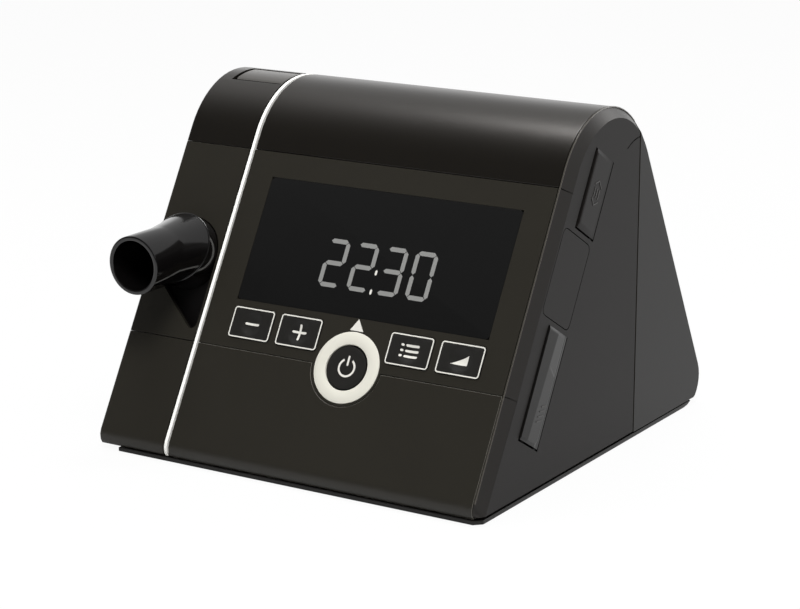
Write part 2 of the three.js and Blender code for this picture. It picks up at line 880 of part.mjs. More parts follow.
// A slab under the casing, with a square lip that shows along its front
function basePlate() {
  const edge = { front: baseEdgeInset, rear: baseEdgeInset, bottom: standOff };
  const lipBack = baseLipDepth - bodyDepth / 2;
  const lip = block(-bodyWidth, -bodyDepth, standOff, bodyWidth, lipBack, baseTop);
  const slab = common(
    join(across(outline(edge), leftEnd, rightEnd), lip),
    prism(basePlan(), -overrun, bodyHeight),
  );
  const top = block(-bodyWidth, -bodyDepth, baseTop, bodyWidth, bodyDepth, bodyHeight + overrun);
  const recesses = footPlaces.map(({ x, y }) => {
    return prism(circle(x, y, footRadius + gap, mediumSteps), -overrun, standOff + footSink + gap);
  });
  const posts = boardPostXs.flatMap((x) => {
    return boardPostYs.map((y) => {
      return prism(circle(x, y, boardPostRadius, smallSteps), standOff + wall / 2, mainBoardZ - gap);
    });
  });
  const blowerPosts = lugPlaces().map(({ x, y }) => {
    const top = volutePlateZ - gap - mountHeight - gap;
    return prism(circle(x, y, blowerPostRadius, smallSteps), standOff + wall / 2, top);
  });
  return join(cut(slab, top, ...recesses), ...posts, ...blowerPosts);
}

function foot({ x, y }) {
  return prism(circle(x, y, footRadius, mediumSteps), 0, standOff + footSink);
}

// Trim strip and docking bulkhead
function trimStrip() {
  const left = stripLeft + gap / 2;
  const right = stripRight - gap / 2;
  const band = across(evenOutline(0), left, right);
  const inner = outline({ front: stripDepth, rear: stripDepth, bottom: 0 });
  return aboveFloor(cut(band, across(inner, left - overrun, right + overrun)));
}

const nozzleCentre = slopePoint(recessUp, ductDepth);

function bulkheadSlice(inset, left, right) {
  return aboveFloor(across(evenOutline(inset), left, right));
}

function tongueNotch() {
  return block(
    stripLeft - overrun,
    tongueY - tongueWidth / 2 - tongueSideRoom,
    tongueZ - tongueThickness - buttonTravel - tongueSideRoom,
    stripRight + overrun,
    tongueY + tongueWidth / 2 + tongueSideRoom,
    bodyHeight,
  );
}

function dockingBulkhead() {
  const neckInset = stripDepth + bulkheadClearance;
  const innerInset = wall + bulkheadClearance;
  const neck = bulkheadSlice(neckInset, stripLeft + gap, ringLeft + gap);
  const plate = bulkheadSlice(innerInset, ringLeft, ringLeft + bulkheadThickness);
  const { x: y, y: z } = nozzleCentre;
  const tube = across(
    circle(y, z, nozzleRadius, mediumSteps),
    stripLeft - nozzleLength,
    ringLeft + bulkheadThickness / 2,
  );
  const bore = across(
    circle(y, z, nozzleBoreRadius, mediumSteps),
    stripLeft - nozzleLength - overrun,
    ringLeft + overrun,
  );
  return cut(join(neck, plate, tube), bore, tongueNotch());
}

function dockSeal() {
  const { x: y, y: z } = nozzleCentre;
  const right = stripLeft - nozzleLength / 2;
  const left = right - dockSealWidth;
  const inner = nozzleRadius + gap / 2;
  const ring = across(circle(y, z, inner + dockSealThickness, mediumSteps), left, right);
  return cut(ring, across(circle(y, z, inner, mediumSteps), left - overrun, right + overrun));
}

// Left end module
const moduleRight = stripLeft - gap / 2;
const hubX = (leftEnd + stripLeft) / 2;
const recessRadius = moduleWidth / 2 - recessWall;
const hubRadius = recessRadius - hubGap;

function moduleCup() {
  const bottom = casingFloor;
  const outer = join(
    across(evenOutline(0), leftEnd + moduleChamfer, moduleRight),
    taperedSlice(evenOutline(0), leftEnd + moduleChamfer, evenOutline(moduleChamfer), leftEnd),
  );
  const hollow = across(
    outline({ front: wall, rear: wall, bottom: bottom + wall }),
    leftEnd + wall,
    moduleRight + overrun,
  );
  return cut(aboveFloor(outer), hollow);
}

function coverZone(inset, clearance) {
  const ring = across(evenOutline(-overrun), leftEnd - overrun, moduleRight + overrun);
  const core = across(evenOutline(inset + clearance), leftEnd - overrun, moduleRight + overrun);
  return cut(ring, core);
}

// The teardrop outline of the recess, with its tail at the lower right
function teardrop(grow) {
  const tailX = stripLeft - recessTailGap - recessTailRadius;
  const points = [
    ...circle(hubX, recessUp, recessRadius + grow, fineSteps),
    ...circle(tailX, recessTailUp, recessTailRadius + grow, smallSteps),
  ];
  return convexHull(points);
}

function convexHull(points) {
  const sorted = [...points].sort((a, b) => a.x - b.x || a.y - b.y);
  const turn = (o, a, b) => (a.x - o.x) * (b.y - o.y) - (a.y - o.y) * (b.x - o.x);
  const half = (list) => {
    const chain = [];
    for (const point of list) {
      while (chain.length > 1 && turn(chain.at(-2), chain.at(-1), point) <= 0) chain.pop();
      chain.push(point);
    }
    return chain.slice(0, -1);
  };
  return [...half(sorted), ...half(sorted.reverse())];
}

function recessCutter(grow, depth) {
  return prism(teardrop(grow), -depth, overrun, frontFrame);
}

function sideFrontCover() {
  const band = slopeSlab(lowerSeam + gap / 2, upperSeam - gap / 2, coverReturn);
  return cut(common(moduleCup(), band), recessCutter(0, recessDepth));
}

function sideTopCover() {
  const upper = slopeSlab(upperSeam + gap / 2, farUp, bodyDepth);
  const band = common(moduleCup(), coverZone(coverReturn, 0), upper, frontOfRearSeam());
  return cut(band, buttonHole());
}

function sideBase() {
  const frontZone = slopeSlab(lowerSeam - gap / 2, upperSeam + gap / 2, coverReturn + gap);
  const upper = slopeSlab(upperSeam - gap / 2, farUp, bodyDepth);
  const seamLimit = block(
    -bodyWidth,
    -bodyDepth,
    -overrun,
    bodyWidth,
    rearSeamY + gap / 2,
    bodyHeight + overrun,
  );
  const topZone = common(coverZone(coverReturn, gap), upper, seamLimit);
  const recess = recessCutter(gap, recessDepth + recessFloorThickness + gap);
  return cut(moduleCup(), frontZone, topZone, recess);
}

function recessLiner() {
  const outerPoints = teardrop(recessLinerWall);
  const bottom = recessDepth + recessFloorThickness;
  const body = prism(outerPoints, -bottom, -wall - gap, frontFrame);
  const inside = block(
    leftEnd + wall + gap,
    -bodyDepth,
    -overrun,
    moduleRight,
    bodyDepth,
    bodyHeight + overrun,
  );
  const hole = circle(hubX, recessUp, neckRadius + neckRun, fineSteps);
  return cut(
    common(body, inside),
    recessCutter(0, recessDepth),
    prism(hole, -bottom - overrun, overrun, frontFrame),
  );
}

// Elbow: a domed collar that turns on the front slope, with a level outlet tube
function turned(profile, x, up, steps) {
  const geometry = new THREE.LatheGeometry(profile, steps);
  geometry.rotateX(quarterTurn);
  geometry.translate(x, up, 0);
  return solidOf(geometry.applyMatrix4(frontFrame));
}

const frontLean = frontEdge.angle - quarterTurn;
const hubFloor = -recessDepth + hubClearance;
const neckFoot = -recessDepth - recessFloorThickness - neckLength;

function levelTube(radius, rootRadius, from, to) {
  const geometry = new THREE.CylinderGeometry(radius, rootRadius, to - from, fineSteps);
  geometry.translate(0, (from + to) / 2, 0);
  geometry.rotateX(Math.PI - frontLean);
  geometry.translate(hubX, recessUp, tubeCrossing);
  return solidOf(geometry.applyMatrix4(frontFrame));
}

function elbow() {
  const domeTop = hubHeight + hubDome;
  const domeShares = [[0.97, 0.18], [0.85, 0.5], [0.6, 0.82], [0.3, 0.96]];
  const dome = domeShares.map(([out, up]) => {
    return new THREE.Vector2(hubRadius * out, hubHeight + hubDome * up);
  });
  const collar = turned([
    new THREE.Vector2(0, neckFoot),
    new THREE.Vector2(neckRadius, neckFoot),
    new THREE.Vector2(neckRadius, hubFloor),
    new THREE.Vector2(hubRadius, hubFloor),
    new THREE.Vector2(hubRadius, hubHeight),
    ...dome,
    new THREE.Vector2(0, domeTop),
  ], hubX, recessUp, fineSteps);
  const tube = levelTube(tubeRadius, tubeRadius + tubeTaper, 0, tubeReach - rimRound);
  const rim = levelTube(tubeRadius - rimRound, tubeRadius, tubeReach - rimRound, tubeReach);
  const tubeBore = levelTube(boreRadius, boreRadius, bendWall, tubeReach + overrun);
  const neckBore = turned([
    new THREE.Vector2(0, neckFoot - overrun),
    new THREE.Vector2(boreRadius, neckFoot - overrun),
    new THREE.Vector2(boreRadius, tubeCrossing),
    new THREE.Vector2(0, tubeCrossing + boreRadius / 2),
  ], hubX, recessUp, fineSteps);
  return cut(join(collar, tube, rim), tubeBore, neckBore);
}

function elbowSeal() {
  const top = -recessDepth - recessFloorThickness - gap;
  const inner = neckRadius + gap / 2;
  const outer = inner + sealWidth;
  return turned([
    new THREE.Vector2(inner, top - sealThickness),
    new THREE.Vector2(outer, top - sealThickness),
    new THREE.Vector2(outer, top),
    new THREE.Vector2(inner, top),
    new THREE.Vector2(inner, top - sealThickness),
  ], hubX, recessUp, mediumSteps);
}

// Duct from the elbow's neck, turning to the docking nozzle
function sideDuct() {
  const { x: y, y: z } = nozzleCentre;
  const outerRadius = ductBoreRadius + ductWall;
  const neckTop = neckFoot - gap;
  const down = (radius, low, high) => {
    return prism(circle(hubX, recessUp, radius, mediumSteps), low, high, frontFrame);
  };
  const side = (radius, left, right) => across(circle(y, z, radius, mediumSteps), left, right);
  const floor = -ductDepth - outerRadius;
  const socketRight = stripLeft - gap;
  return cut(
    join(down(outerRadius, floor, neckTop), side(outerRadius, hubX, socketRight)),
    down(ductBoreRadius, floor + ductWall, neckTop + overrun),
    side(ductBoreRadius, hubX, socketRight + overrun),
  );
}

// Release button with its tongue
const buttonRight = moduleRight - buttonRightInset;
const buttonLeft = buttonRight - buttonWidth;
const tongueY = crownY + (buttonBack + buttonFront) / 2;
const tongueZ = bodyHeight - tongueDrop;

function crownBand(outerInset, innerInset, left, right, front, back) {
  const band = cut(
    across(evenOutline(outerInset), left, right),
    across(evenOutline(innerInset), left - overrun, right + overrun),
  );
  return common(band, block(left, front, bodyHeight / 2, right, back, bodyHeight + overrun));
}

function buttonHole() {
  return block(
    buttonLeft - gap,
    crownY + buttonFront - gap,
    bodyHeight / 2,
    buttonRight + gap,
    crownY + buttonBack + gap,
    bodyHeight + overrun,
  );
}

function releaseButton() {
  const front = crownY + buttonFront;
  const back = crownY + buttonBack;
  const flangeTop = wall + gap;
  const pad = crownBand(buttonSink, flangeTop + gap, buttonLeft, buttonRight, front, back);
  const flange = crownBand(
    flangeTop,
    flangeTop + buttonFlangeThickness,
    buttonLeft - buttonFlange,
    buttonRight + buttonFlange / 2,
    front - buttonFlange,
    back + buttonFlange,
  );
  const stemRight = buttonRight - buttonFlange;
  const stem = block(
    stemRight - tongueThickness,
    tongueY - tongueWidth / 2,
    tongueZ - tongueThickness,
    stemRight,
    tongueY + tongueWidth / 2,
    bodyHeight - flangeTop - buttonFlangeThickness / 2,
  );
  const tongue = block(
    stemRight - tongueThickness,
    tongueY - tongueWidth / 2,
    tongueZ - tongueThickness,
    ringLeft + bulkheadThickness + tongueReach,
    tongueY + tongueWidth / 2,
    tongueZ,
  );
  return join(pad, flange, stem, tongue);
}

// Keys, mat, ring, window and boards, in the front slope's own frame
function localSolid(points, low, high) {
  return prism(points, low, high);
}

function keyCap(left) {
  const right = left + keyWidth;
  const high = keyLow + keyHeight;
  const body = localSolid(
    roundedRectangle(left, keyLow, right, high, keyCornerRadius),
    -wall - keyDepth,
    keyProud,
  );
  const flange = localSolid(
    roundedRectangle(
      left - keyFlange,
      keyLow - keyFlange,
      right + keyFlange,
      high + keyFlange,
      keyCornerRadius + keyFlange,
    ),
    -wall - gap - keyFlangeThickness,
    -wall - gap,
  );
  return cut(join(body, flange), dimple((left + right) / 2, keyLow + keyHeight / 2));
}

// The shallow round hollow in a key's face, cut with a flat-topped bowl
function dimple(x, up) {
  const bowl = dimpleOutShares.map((out, i) => {
    return new THREE.Vector2(dimpleRadius * out, keyProud - dimpleDepth * dimpleDownShares[i]);
  });
  const top = keyProud + dimpleDepth;
  const profile = [...bowl, new THREE.Vector2(dimpleRadius, top), new THREE.Vector2(0, top)];
  const geometry = new THREE.LatheGeometry(profile, mediumSteps);
  geometry.rotateX(quarterTurn);
  geometry.translate(x, up, 0);
  return solidOf(geometry);
}

const matTop = -wall - keyDepth - keyTravel - gap;
const matFloor = -displayBoardDepth + gap;

function keyMat() {
  const leftmost = keyLefts.key_minus - keyFlange;
  const rightmost = keyLefts.key_ramp + keyWidth + keyFlange;
  const low = keyLow - keyFlange;
  const sheet = localSolid(
    rectangle(leftmost, low, rightmost, keyLow + keyHeight + keyFlange),
    matFloor,
    matFloor + matThickness,
  );
  const powerPad = localSolid(
    circle(ringX, ringUp, powerKeyRadius, mediumSteps),
    matFloor,
    matFloor + matThickness,
  );
  const domes = Object.values(keyLefts).map((left) => {
    const centre = circle(left + keyWidth / 2, keyLow + keyHeight / 2, matDomeRadius, smallSteps);
    return localSolid(centre, matFloor, matTop);
  });
  return join(sheet, powerPad, ...domes);
}

function powerRing() {
  const top = ringProud;
  const ring = localSolid(circle(ringX, ringUp, ringOuterRadius, fineSteps), top - ringThickness, top);
  const hole = circle(ringX, ringUp, ringInnerRadius, fineSteps);
  return cut(ring, localSolid(hole, -overrun, overrun));
}

function powerKey() {
  const flangeRadius = powerKeyRadius + gap + keyFlange;
  const body = localSolid(
    circle(ringX, ringUp, powerKeyRadius, fineSteps),
    -wall - powerKeyDepth + powerKeyTravel,
    0,
  );
  const flange = localSolid(
    circle(ringX, ringUp, flangeRadius, fineSteps),
    -wall - gap - keyFlangeThickness,
    -wall - gap,
  );
  return join(body, flange);
}

function displayWindow() {
  const points = roundedRectangle(windowLeft, windowLow, windowRight, windowHigh, windowCornerRadius);
  return localSolid(points, -windowThickness, 0);
}

function lcdModule() {
  const centreX = (windowLeft + windowRight) / 2;
  const centreUp = (windowLow + windowHigh) / 2;
  const points = rectangle(
    centreX - lcdWidth / 2,
    centreUp - lcdHeight / 2,
    centreX + lcdWidth / 2,
    centreUp + lcdHeight / 2,
  );
  return localSolid(points, -displayBoardDepth + gap, -displayBoardDepth + gap + lcdThickness);
}

function displayBoard() {
  const low = ringUp - powerKeyRadius - displayBoardMargin;
  const points = rectangle(
    windowLeft - displayBoardMargin,
    low,
    windowRight + displayBoardMargin,
    windowHigh - windowLedge,
  );
  return localSolid(points, -displayBoardDepth - boardThickness, -displayBoardDepth);
}

// Blower
const volutePlateTop = volutePlateZ + volutePlateThickness;
const voluteTop = volutePlateZ + voluteHeight;
const portFront = blowerY - voluteRadius;
const portBack = portFront + volutePort;

function scrollBlank(grow, low, high) {
  const round = prism(circle(blowerX, blowerY, voluteRadius + grow, fineSteps), low, high);
  const port = block(
    blowerX - voluteRadius - voluteWall,
    portFront - grow,
    low,
    blowerX,
    portBack + grow,
    high,
  );
  return join(round, port);
}

function lugPlaces() {
  const signs = [-1, 1];
  return signs.flatMap((sx) => {
    return signs.map((sy) => ({ x: blowerX + sx * lugReach, y: blowerY + sy * lugReach }));
  });
}

function voluteLower() {
  const outer = scrollBlank(0, volutePlateZ, voluteTop);
  const inner = scrollBlank(-voluteWall, volutePlateTop, voluteTop + overrun);
  const mouth = block(
    blowerX - voluteRadius - overrun,
    portFront + voluteWall,
    volutePlateTop,
    blowerX - voluteRadius / 2,
    portBack - voluteWall,
    voluteTop + overrun,
  );
  const lugs = lugPlaces().map(({ x, y }) => {
    return prism(circle(x, y, lugRadius, smallSteps), volutePlateZ, volutePlateTop);
  });
  const hole = prism(
    circle(blowerX, blowerY, shaftRadius + shaftClearance, smallSteps),
    0,
    bodyHeight,
  );
  return cut(join(outer, ...lugs), inner, mouth, hole);
}

function voluteUpper() {
  const low = voluteTop + gap;
  const lid = scrollBlank(0, low, low + volutePlateThickness);
  const collar = prism(
    circle(blowerX, blowerY, inletRadius + voluteWall, mediumSteps),
    low,
    low + inletCollarHeight,
  );
  const hole = circle(blowerX, blowerY, inletRadius, mediumSteps);
  return cut(join(lid, collar), prism(hole, 0, bodyHeight));
}

function impeller() {
  const low = volutePlateTop + impellerClearance;
  const high = voluteTop - impellerClearance;
  const disc = prism(circle(blowerX, blowerY, impellerRadius, fineSteps), low, low + impellerDisc);
  const hub = prism(circle(blowerX, blowerY, impellerHubRadius, mediumSteps), low, high);
  const blades = Array.from({ length: bladeCount }, (_, i) => {
    const lean = bladeLeanShare * impellerRadius;
    const blade = new THREE.BoxGeometry(
      impellerRadius - bladeInnerRadius,
      bladeThickness,
      high - low - impellerDisc / 2,
    );
    blade.rotateZ(Math.atan2(lean, impellerRadius));
    const middle = (impellerRadius + bladeInnerRadius) / 2 - bladeThickness;
    blade.translate(middle, 0, (low + high + impellerDisc / 2) / 2);
    blade.rotateZ((2 * Math.PI * i) / bladeCount);
    blade.translate(blowerX, blowerY, 0);
    return solidOf(blade);
  });
  const bore = circle(blowerX, blowerY, shaftRadius + shaftClearance, smallSteps);
  return cut(join(disc, hub, ...blades), prism(bore, 0, bodyHeight));
}

const motorTop = volutePlateZ - gap;
const motorLow = motorTop - motorHeight;

function motor() {
  const body = prism(circle(blowerX, blowerY, motorRadius, mediumSteps), motorLow, motorTop);
  const bore = circle(blowerX, blowerY, shaftRadius + shaftClearance, smallSteps);
  return cut(body, prism(bore, motorLow + wall, bodyHeight));
}

function motorShaft() {
  const low = motorLow + wall + gap;
  const high = voluteTop - impellerClearance - gap;
  return prism(circle(blowerX, blowerY, shaftRadius, smallSteps), low, high);
}

function blowerMount({ x, y }) {
  const top = volutePlateZ - gap;
  return prism(circle(x, y, mountRadius, smallSteps), top - mountHeight, top);
}

function inletMuffler() {
  const low = voluteTop + gap + volutePlateThickness + gap;
  const body = block(
    blowerX - foamWidth / 2,
    blowerY - foamDepth / 2,
    low,
    blowerX + foamWidth / 2,
    blowerY + foamDepth / 2,
    low + foamHeight,
  );
  const radius = inletRadius + voluteWall + foamHoleClearance / 2;
  return cut(body, prism(circle(blowerX, blowerY, radius, mediumSteps), 0, bodyHeight));
}

function ductPath() {
  const startX = blowerX - voluteRadius - voluteWall - gap;
  const start = new THREE.Vector3(startX, (portFront + portBack) / 2, (volutePlateTop + voluteTop) / 2);
  const { x: y, y: z } = nozzleCentre;
  const end = new THREE.Vector3(ringLeft + bulkheadThickness + gap, y, z);
  const middle = (start.x + end.x) / 2;
  return new THREE.CubicBezierCurve3(
    start,
    new THREE.Vector3(middle, start.y, start.z),
    new THREE.Vector3(middle, end.y, end.z),
    end,
  );
}

function outletDuct() {
  const path = ductPath();
  const shape = new THREE.Shape(circle(0, 0, hoseBoreRadius + hoseWall, hoseSides));
  shape.holes.push(new THREE.Path(circle(0, 0, hoseBoreRadius, hoseSides)));
  return solidOf(new THREE.ExtrudeGeometry(shape, { steps: hoseSteps, extrudePath: path }));
}

function flowSensor() {
  const left = ringLeft + bulkheadThickness + gap;
  const beside = ductPath().getPoints(fineSteps).filter((point) => point.x < left + sensorDepth);
  const ductBack = Math.max(...beside.map((point) => point.y)) + hoseBoreRadius + hoseWall;
  const front = ductBack + hoseWall;
  const low = nozzleCentre.y - sensorHeight / 2;
  return block(left, front, low, left + sensorDepth, front + sensorWidth, low + sensorHeight);
}

function mainBoard() {
  return block(
    mainBoardLeft,
    mainBoardFront,
    mainBoardZ,
    mainBoardRight,
    mainBoardBack,
    mainBoardZ + boardThickness,
  );
}

// The assembly
const group = new THREE.Group();
const machine = new THREE.Group();
machine.position.x = -doorProud / 2;
group.add(machine);
const frontGroup = new THREE.Group();
frontGroup.applyMatrix4(frontFrame);
machine.add(frontGroup);

function place(parent, name, solid, material) {
  const mesh = new THREE.Mesh(geometryOf(solid), material);
  mesh.name = name;
  parent.add(mesh);
}

place(machine, 'base_plate', basePlate(), basePlastic);
place(machine, 'lower_front_panel', lowerFrontPanel(), casing);
place(machine, 'front_panel', frontPanel(), casing);
place(machine, 'top_cover', topCover(), casing);
place(machine, 'rear_housing', rearHousing(), casing);
place(machine, 'right_side_panel', rightSidePanel(), sideCasing);
place(machine, 'side_insert', sideInsert(), sideCasing);
place(machine, 'upper_door', door(upperDoorLow, upperDoorHigh), sideCasing);
place(machine, 'lower_door', door(lowerDoorLow, lowerDoorHigh), sideCasing);
place(machine, 'upper_door_pin', doorPin(upperDoorLow, upperDoorHigh), steel);
place(machine, 'lower_door_pin', doorPin(lowerDoorLow, lowerDoorHigh), steel);
place(machine, 'docking_bulkhead', dockingBulkhead(), casing);
place(machine, 'trim_strip', trimStrip(), trimWhite);
place(machine, 'dock_seal', dockSeal(), siliconeGrey);
footPlaces.forEach((spot, i) => place(machine, `foot_${i + 1}`, foot(spot), rubber));

place(frontGroup, 'display_window', displayWindow(), windowBlack);
place(frontGroup, 'lcd_module', lcdModule(), lcdGrey);
place(frontGroup, 'display_board', displayBoard(), boardGreen);
place(frontGroup, 'key_mat', keyMat(), siliconeGrey);
place(frontGroup, 'power_ring', powerRing(), ringWhite);
place(frontGroup, 'power_key', powerKey(), keyPlastic);
for (const [name, left] of Object.entries(keyLefts)) {
  place(frontGroup, name, keyCap(left), keyPlastic);
}

place(machine, 'filter_cover', filterCover(), casing);
const coarseDepth = wall + gap;
const fineDepth = coarseDepth + coarseFilterThickness + gap;
place(machine, 'coarse_filter', filterPad(coarseFilterThickness, coarseDepth), foam);
place(machine, 'fine_filter', filterPad(fineFilterThickness, fineDepth), filterWhite);
place(machine, 'power_inlet', powerInlet(), glossBlack);

const cardBody = [upperDoorMiddle, cardSlotLength, cardSlotWidth, cardReaderMargin, cardReaderDepth];
const portBody = [lowerDoorMiddle, portLength, portWidth, portBodyMargin, portBodyDepth];
place(machine, 'card_reader', socketBody(...cardBody), steel);
place(machine, 'service_socket', socketBody(...portBody), steel);

place(machine, 'main_board', mainBoard(), boardGreen);
place(machine, 'volute_lower', voluteLower(), innerPlastic);
place(machine, 'volute_upper', voluteUpper(), innerPlastic);
place(machine, 'impeller', impeller(), innerPlastic);
place(machine, 'motor', motor(), steel);
place(machine, 'motor_shaft', motorShaft(), steel);
lugPlaces().forEach((spot, i) => {
  place(machine, `blower_mount_${i + 1}`, blowerMount(spot), rubber);
});
place(machine, 'inlet_muffler', inletMuffler(), foam);
place(machine, 'outlet_duct', outletDuct(), siliconeGrey);
place(machine, 'flow_sensor', flowSensor(), boardGreen);

place(machine, 'side_base', sideBase(), casing);
place(machine, 'side_front_cover', sideFrontCover(), casing);
place(machine, 'side_top_cover', sideTopCover(), casing);
place(machine, 'recess_liner', recessLiner(), glossBlack);
place(machine, 'side_duct', sideDuct(), innerPlastic);
place(machine, 'release_button', releaseButton(), casing);
place(machine, 'elbow', elbow(), glossBlack);
place(machine, 'elbow_seal', elbowSeal(), rubber);

export default group;
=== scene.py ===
# A bedside breathing-air machine, dressed over its construction model.
# Metres, +X to the right seen from the front, +Y to the back, +Z up.
# Places on the sloping front are (across, up the slope, out of the slope).

import json
import math

import bmesh
import bpy
from mathutils import Matrix, Vector


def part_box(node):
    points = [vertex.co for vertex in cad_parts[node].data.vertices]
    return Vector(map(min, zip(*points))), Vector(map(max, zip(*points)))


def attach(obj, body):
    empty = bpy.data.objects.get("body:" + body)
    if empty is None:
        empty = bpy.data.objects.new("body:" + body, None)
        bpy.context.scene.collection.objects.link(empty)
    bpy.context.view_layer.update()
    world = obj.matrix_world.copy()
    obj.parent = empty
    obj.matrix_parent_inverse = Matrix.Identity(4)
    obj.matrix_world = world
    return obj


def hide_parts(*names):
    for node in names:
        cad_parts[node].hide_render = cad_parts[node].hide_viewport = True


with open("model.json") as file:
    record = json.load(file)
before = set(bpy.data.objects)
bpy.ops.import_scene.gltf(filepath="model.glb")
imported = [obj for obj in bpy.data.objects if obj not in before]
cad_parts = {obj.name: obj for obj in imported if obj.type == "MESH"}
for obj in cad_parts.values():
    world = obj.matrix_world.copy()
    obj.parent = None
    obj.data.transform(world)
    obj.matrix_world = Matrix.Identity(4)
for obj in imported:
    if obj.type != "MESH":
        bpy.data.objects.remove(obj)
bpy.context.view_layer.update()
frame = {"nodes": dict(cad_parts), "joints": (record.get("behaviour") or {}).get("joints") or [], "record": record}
bpy.context.scene.view_settings.view_transform = "Standard"

MM = 0.001
FULL_TURN = 2 * math.pi

# Camera, as the photograph was taken
CAMERA_AT = Vector((496.3, -806.0, 302.9)) * MM
CAMERA_TARGET = Vector((-0.9, -6.1, 50.5)) * MM
LENS = 111.96
SENSOR = 36
CLIP = (0.01, 30)

# Edges of moulded pieces
EDGE_ROUND = 0.3 * MM
FINE_EDGE_ROUND = 0.14 * MM
FINE_EDGED = ("casing", "side_casing", "window")
OWN_EDGES = {
    "top_cover": 0.4 * MM,
    "front_panel": 0.22 * MM,
    "side_top_cover": 0.25 * MM,
    "lower_front_panel": 0.4 * MM,
}
SIDE_EDGE = 0.42 * MM
REAR_EDGE = 0.5 * MM
BAND_EDGE = 0.3 * MM
EDGE_ANGLE = math.radians(28)
FLAT_ANGLE = math.radians(0.5)
WELD = 0.002 * MM

# Printed marks on the front
INK = 0.04 * MM
OUTLINE_WIDTH = 0.48 * MM
OUTLINE_RADIUS = 1.2 * MM
OUTLINE_LEAST_RADIUS = 0.3 * MM
OUTLINE_INSET = 0.1 * MM
PRINT_PITCH = 0.6 * MM
UNCUT = 1.0

# Keys
KEY_FLANGE = 0.8 * MM
KEY_DIMPLE_RADIUS = 5.3 * MM
KEY_DIMPLE_DEPTH = 1.1 * MM
DIMPLE_POWER = 1.5
DIMPLE_SHARES = (0.01, 0.15, 0.3, 0.45, 0.6, 0.7, 0.8, 0.9, 1.0)
KEY_EDGE = 0.25 * MM
KEY_EDGE_TURNS = (0.0, math.pi / 4, math.pi / 2)
KEY_HEIGHT = 5 * MM
ICON_STROKE = 0.9 * MM
ICON_REACH = 2.7 * MM
MENU_PITCH = 2.05 * MM
MENU_DOTS = (-3.6 * MM, -3.3 * MM)
MENU_BARS = (-1.75 * MM, 3.3 * MM)
RAMP_POINTS = [(-3.8 * MM, -1.9 * MM), (3.0 * MM, -1.9 * MM), (3.0 * MM, 1.9 * MM)]

# Round steps
ROUND_STEPS = 96
ROUND_ANGLES = [FULL_TURN * i / ROUND_STEPS for i in range(ROUND_STEPS)]
CORNER_STEPS = 6
EDGE_SEGMENTS = 3
TINY = 1e-9

joints = {joint["name"]: joint for joint in frame["joints"]}
nodes = frame["nodes"]


# The sloping front: its directions come from the way the keys are pressed
def slope_matrix():
    outward = -Vector(joints["minus_press"]["axis"]).normalized()
    across = Vector((1, 0, 0))
    upward = outward.cross(across)
    face = max(outward.dot(v.co) for v in nodes["display_window"].data.vertices)
    matrix = Matrix((across, upward, outward)).transposed().to_4x4()
    matrix.translation = outward * face
    return matrix


SLOPE = slope_matrix()
TO_SLOPE = SLOPE.inverted()


def slope_box(name):
    points = [TO_SLOPE @ v.co for v in nodes[name].data.vertices]
    low = Vector(min(p[i] for p in points) for i in range(3))
    high = Vector(max(p[i] for p in points) for i in range(3))
    return low, high


# Meshes
def link(name, mesh, body, material):
    piece = bpy.data.objects.new(name, mesh)
    bpy.context.scene.collection.objects.link(piece)
    mesh.materials.append(material)
    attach(piece, body)
    return piece


def mesh_of(name, vertices, faces, smooth=True):
    mesh = bpy.data.meshes.new(name)
    mesh.from_pydata([tuple(v) for v in vertices], [], faces)
    mesh.update()
    bm = bmesh.new()
    bm.from_mesh(mesh)
    bmesh.ops.remove_doubles(bm, verts=bm.verts, dist=WELD)
    bmesh.ops.recalc_face_normals(bm, faces=bm.faces)
    bm.to_mesh(mesh)
    bm.free()
    mesh.polygons.foreach_set("use_smooth", [smooth] * len(mesh.polygons))
    return mesh


def skin(name, rings, closed=False):
    """A mesh over rings of equal length. Open ends that aren't joined to each other get a face."""
    count = len(rings[0])
    vertices = [point for ring in rings for point in ring]
    faces = []
    pairs = len(rings) if closed else len(rings) - 1
    for row in range(pairs):
        here = row * count
        there = (row + 1) % len(rings) * count
        for i in range(count):
            j = (i + 1) % count
            faces.append((here + i, here + j, there + j, there + i))
    if not closed:
        faces.append(tuple(range(count)))
        faces.append(tuple(range(len(vertices) - count, len(vertices))))
    return mesh_of(name, vertices, faces)


def circle(radius, steps=ROUND_STEPS):
    angles = [FULL_TURN * i / steps for i in range(steps)]
    return [(radius * math.cos(a), radius * math.sin(a)) for a in angles]


def placed(points, matrix, height=0.0):
    return [matrix @ Vector((x, y, height)) for x, y in points]


def rounded_rectangle(left, low, right, high, radius):
    corners = [(right, high), (left, high), (left, low), (right, low)]
    signs = [(-1, -1), (1, -1), (1, 1), (-1, 1)]
    points = []
    for quarter, ((x, y), (sx, sy)) in enumerate(zip(corners, signs)):
        for i in range(CORNER_STEPS + 1):
            angle = (quarter + i / CORNER_STEPS) * math.pi / 2
            points.append((
                x + sx * radius + radius * math.cos(angle),
                y + sy * radius + radius * math.sin(angle),
            ))
    return points


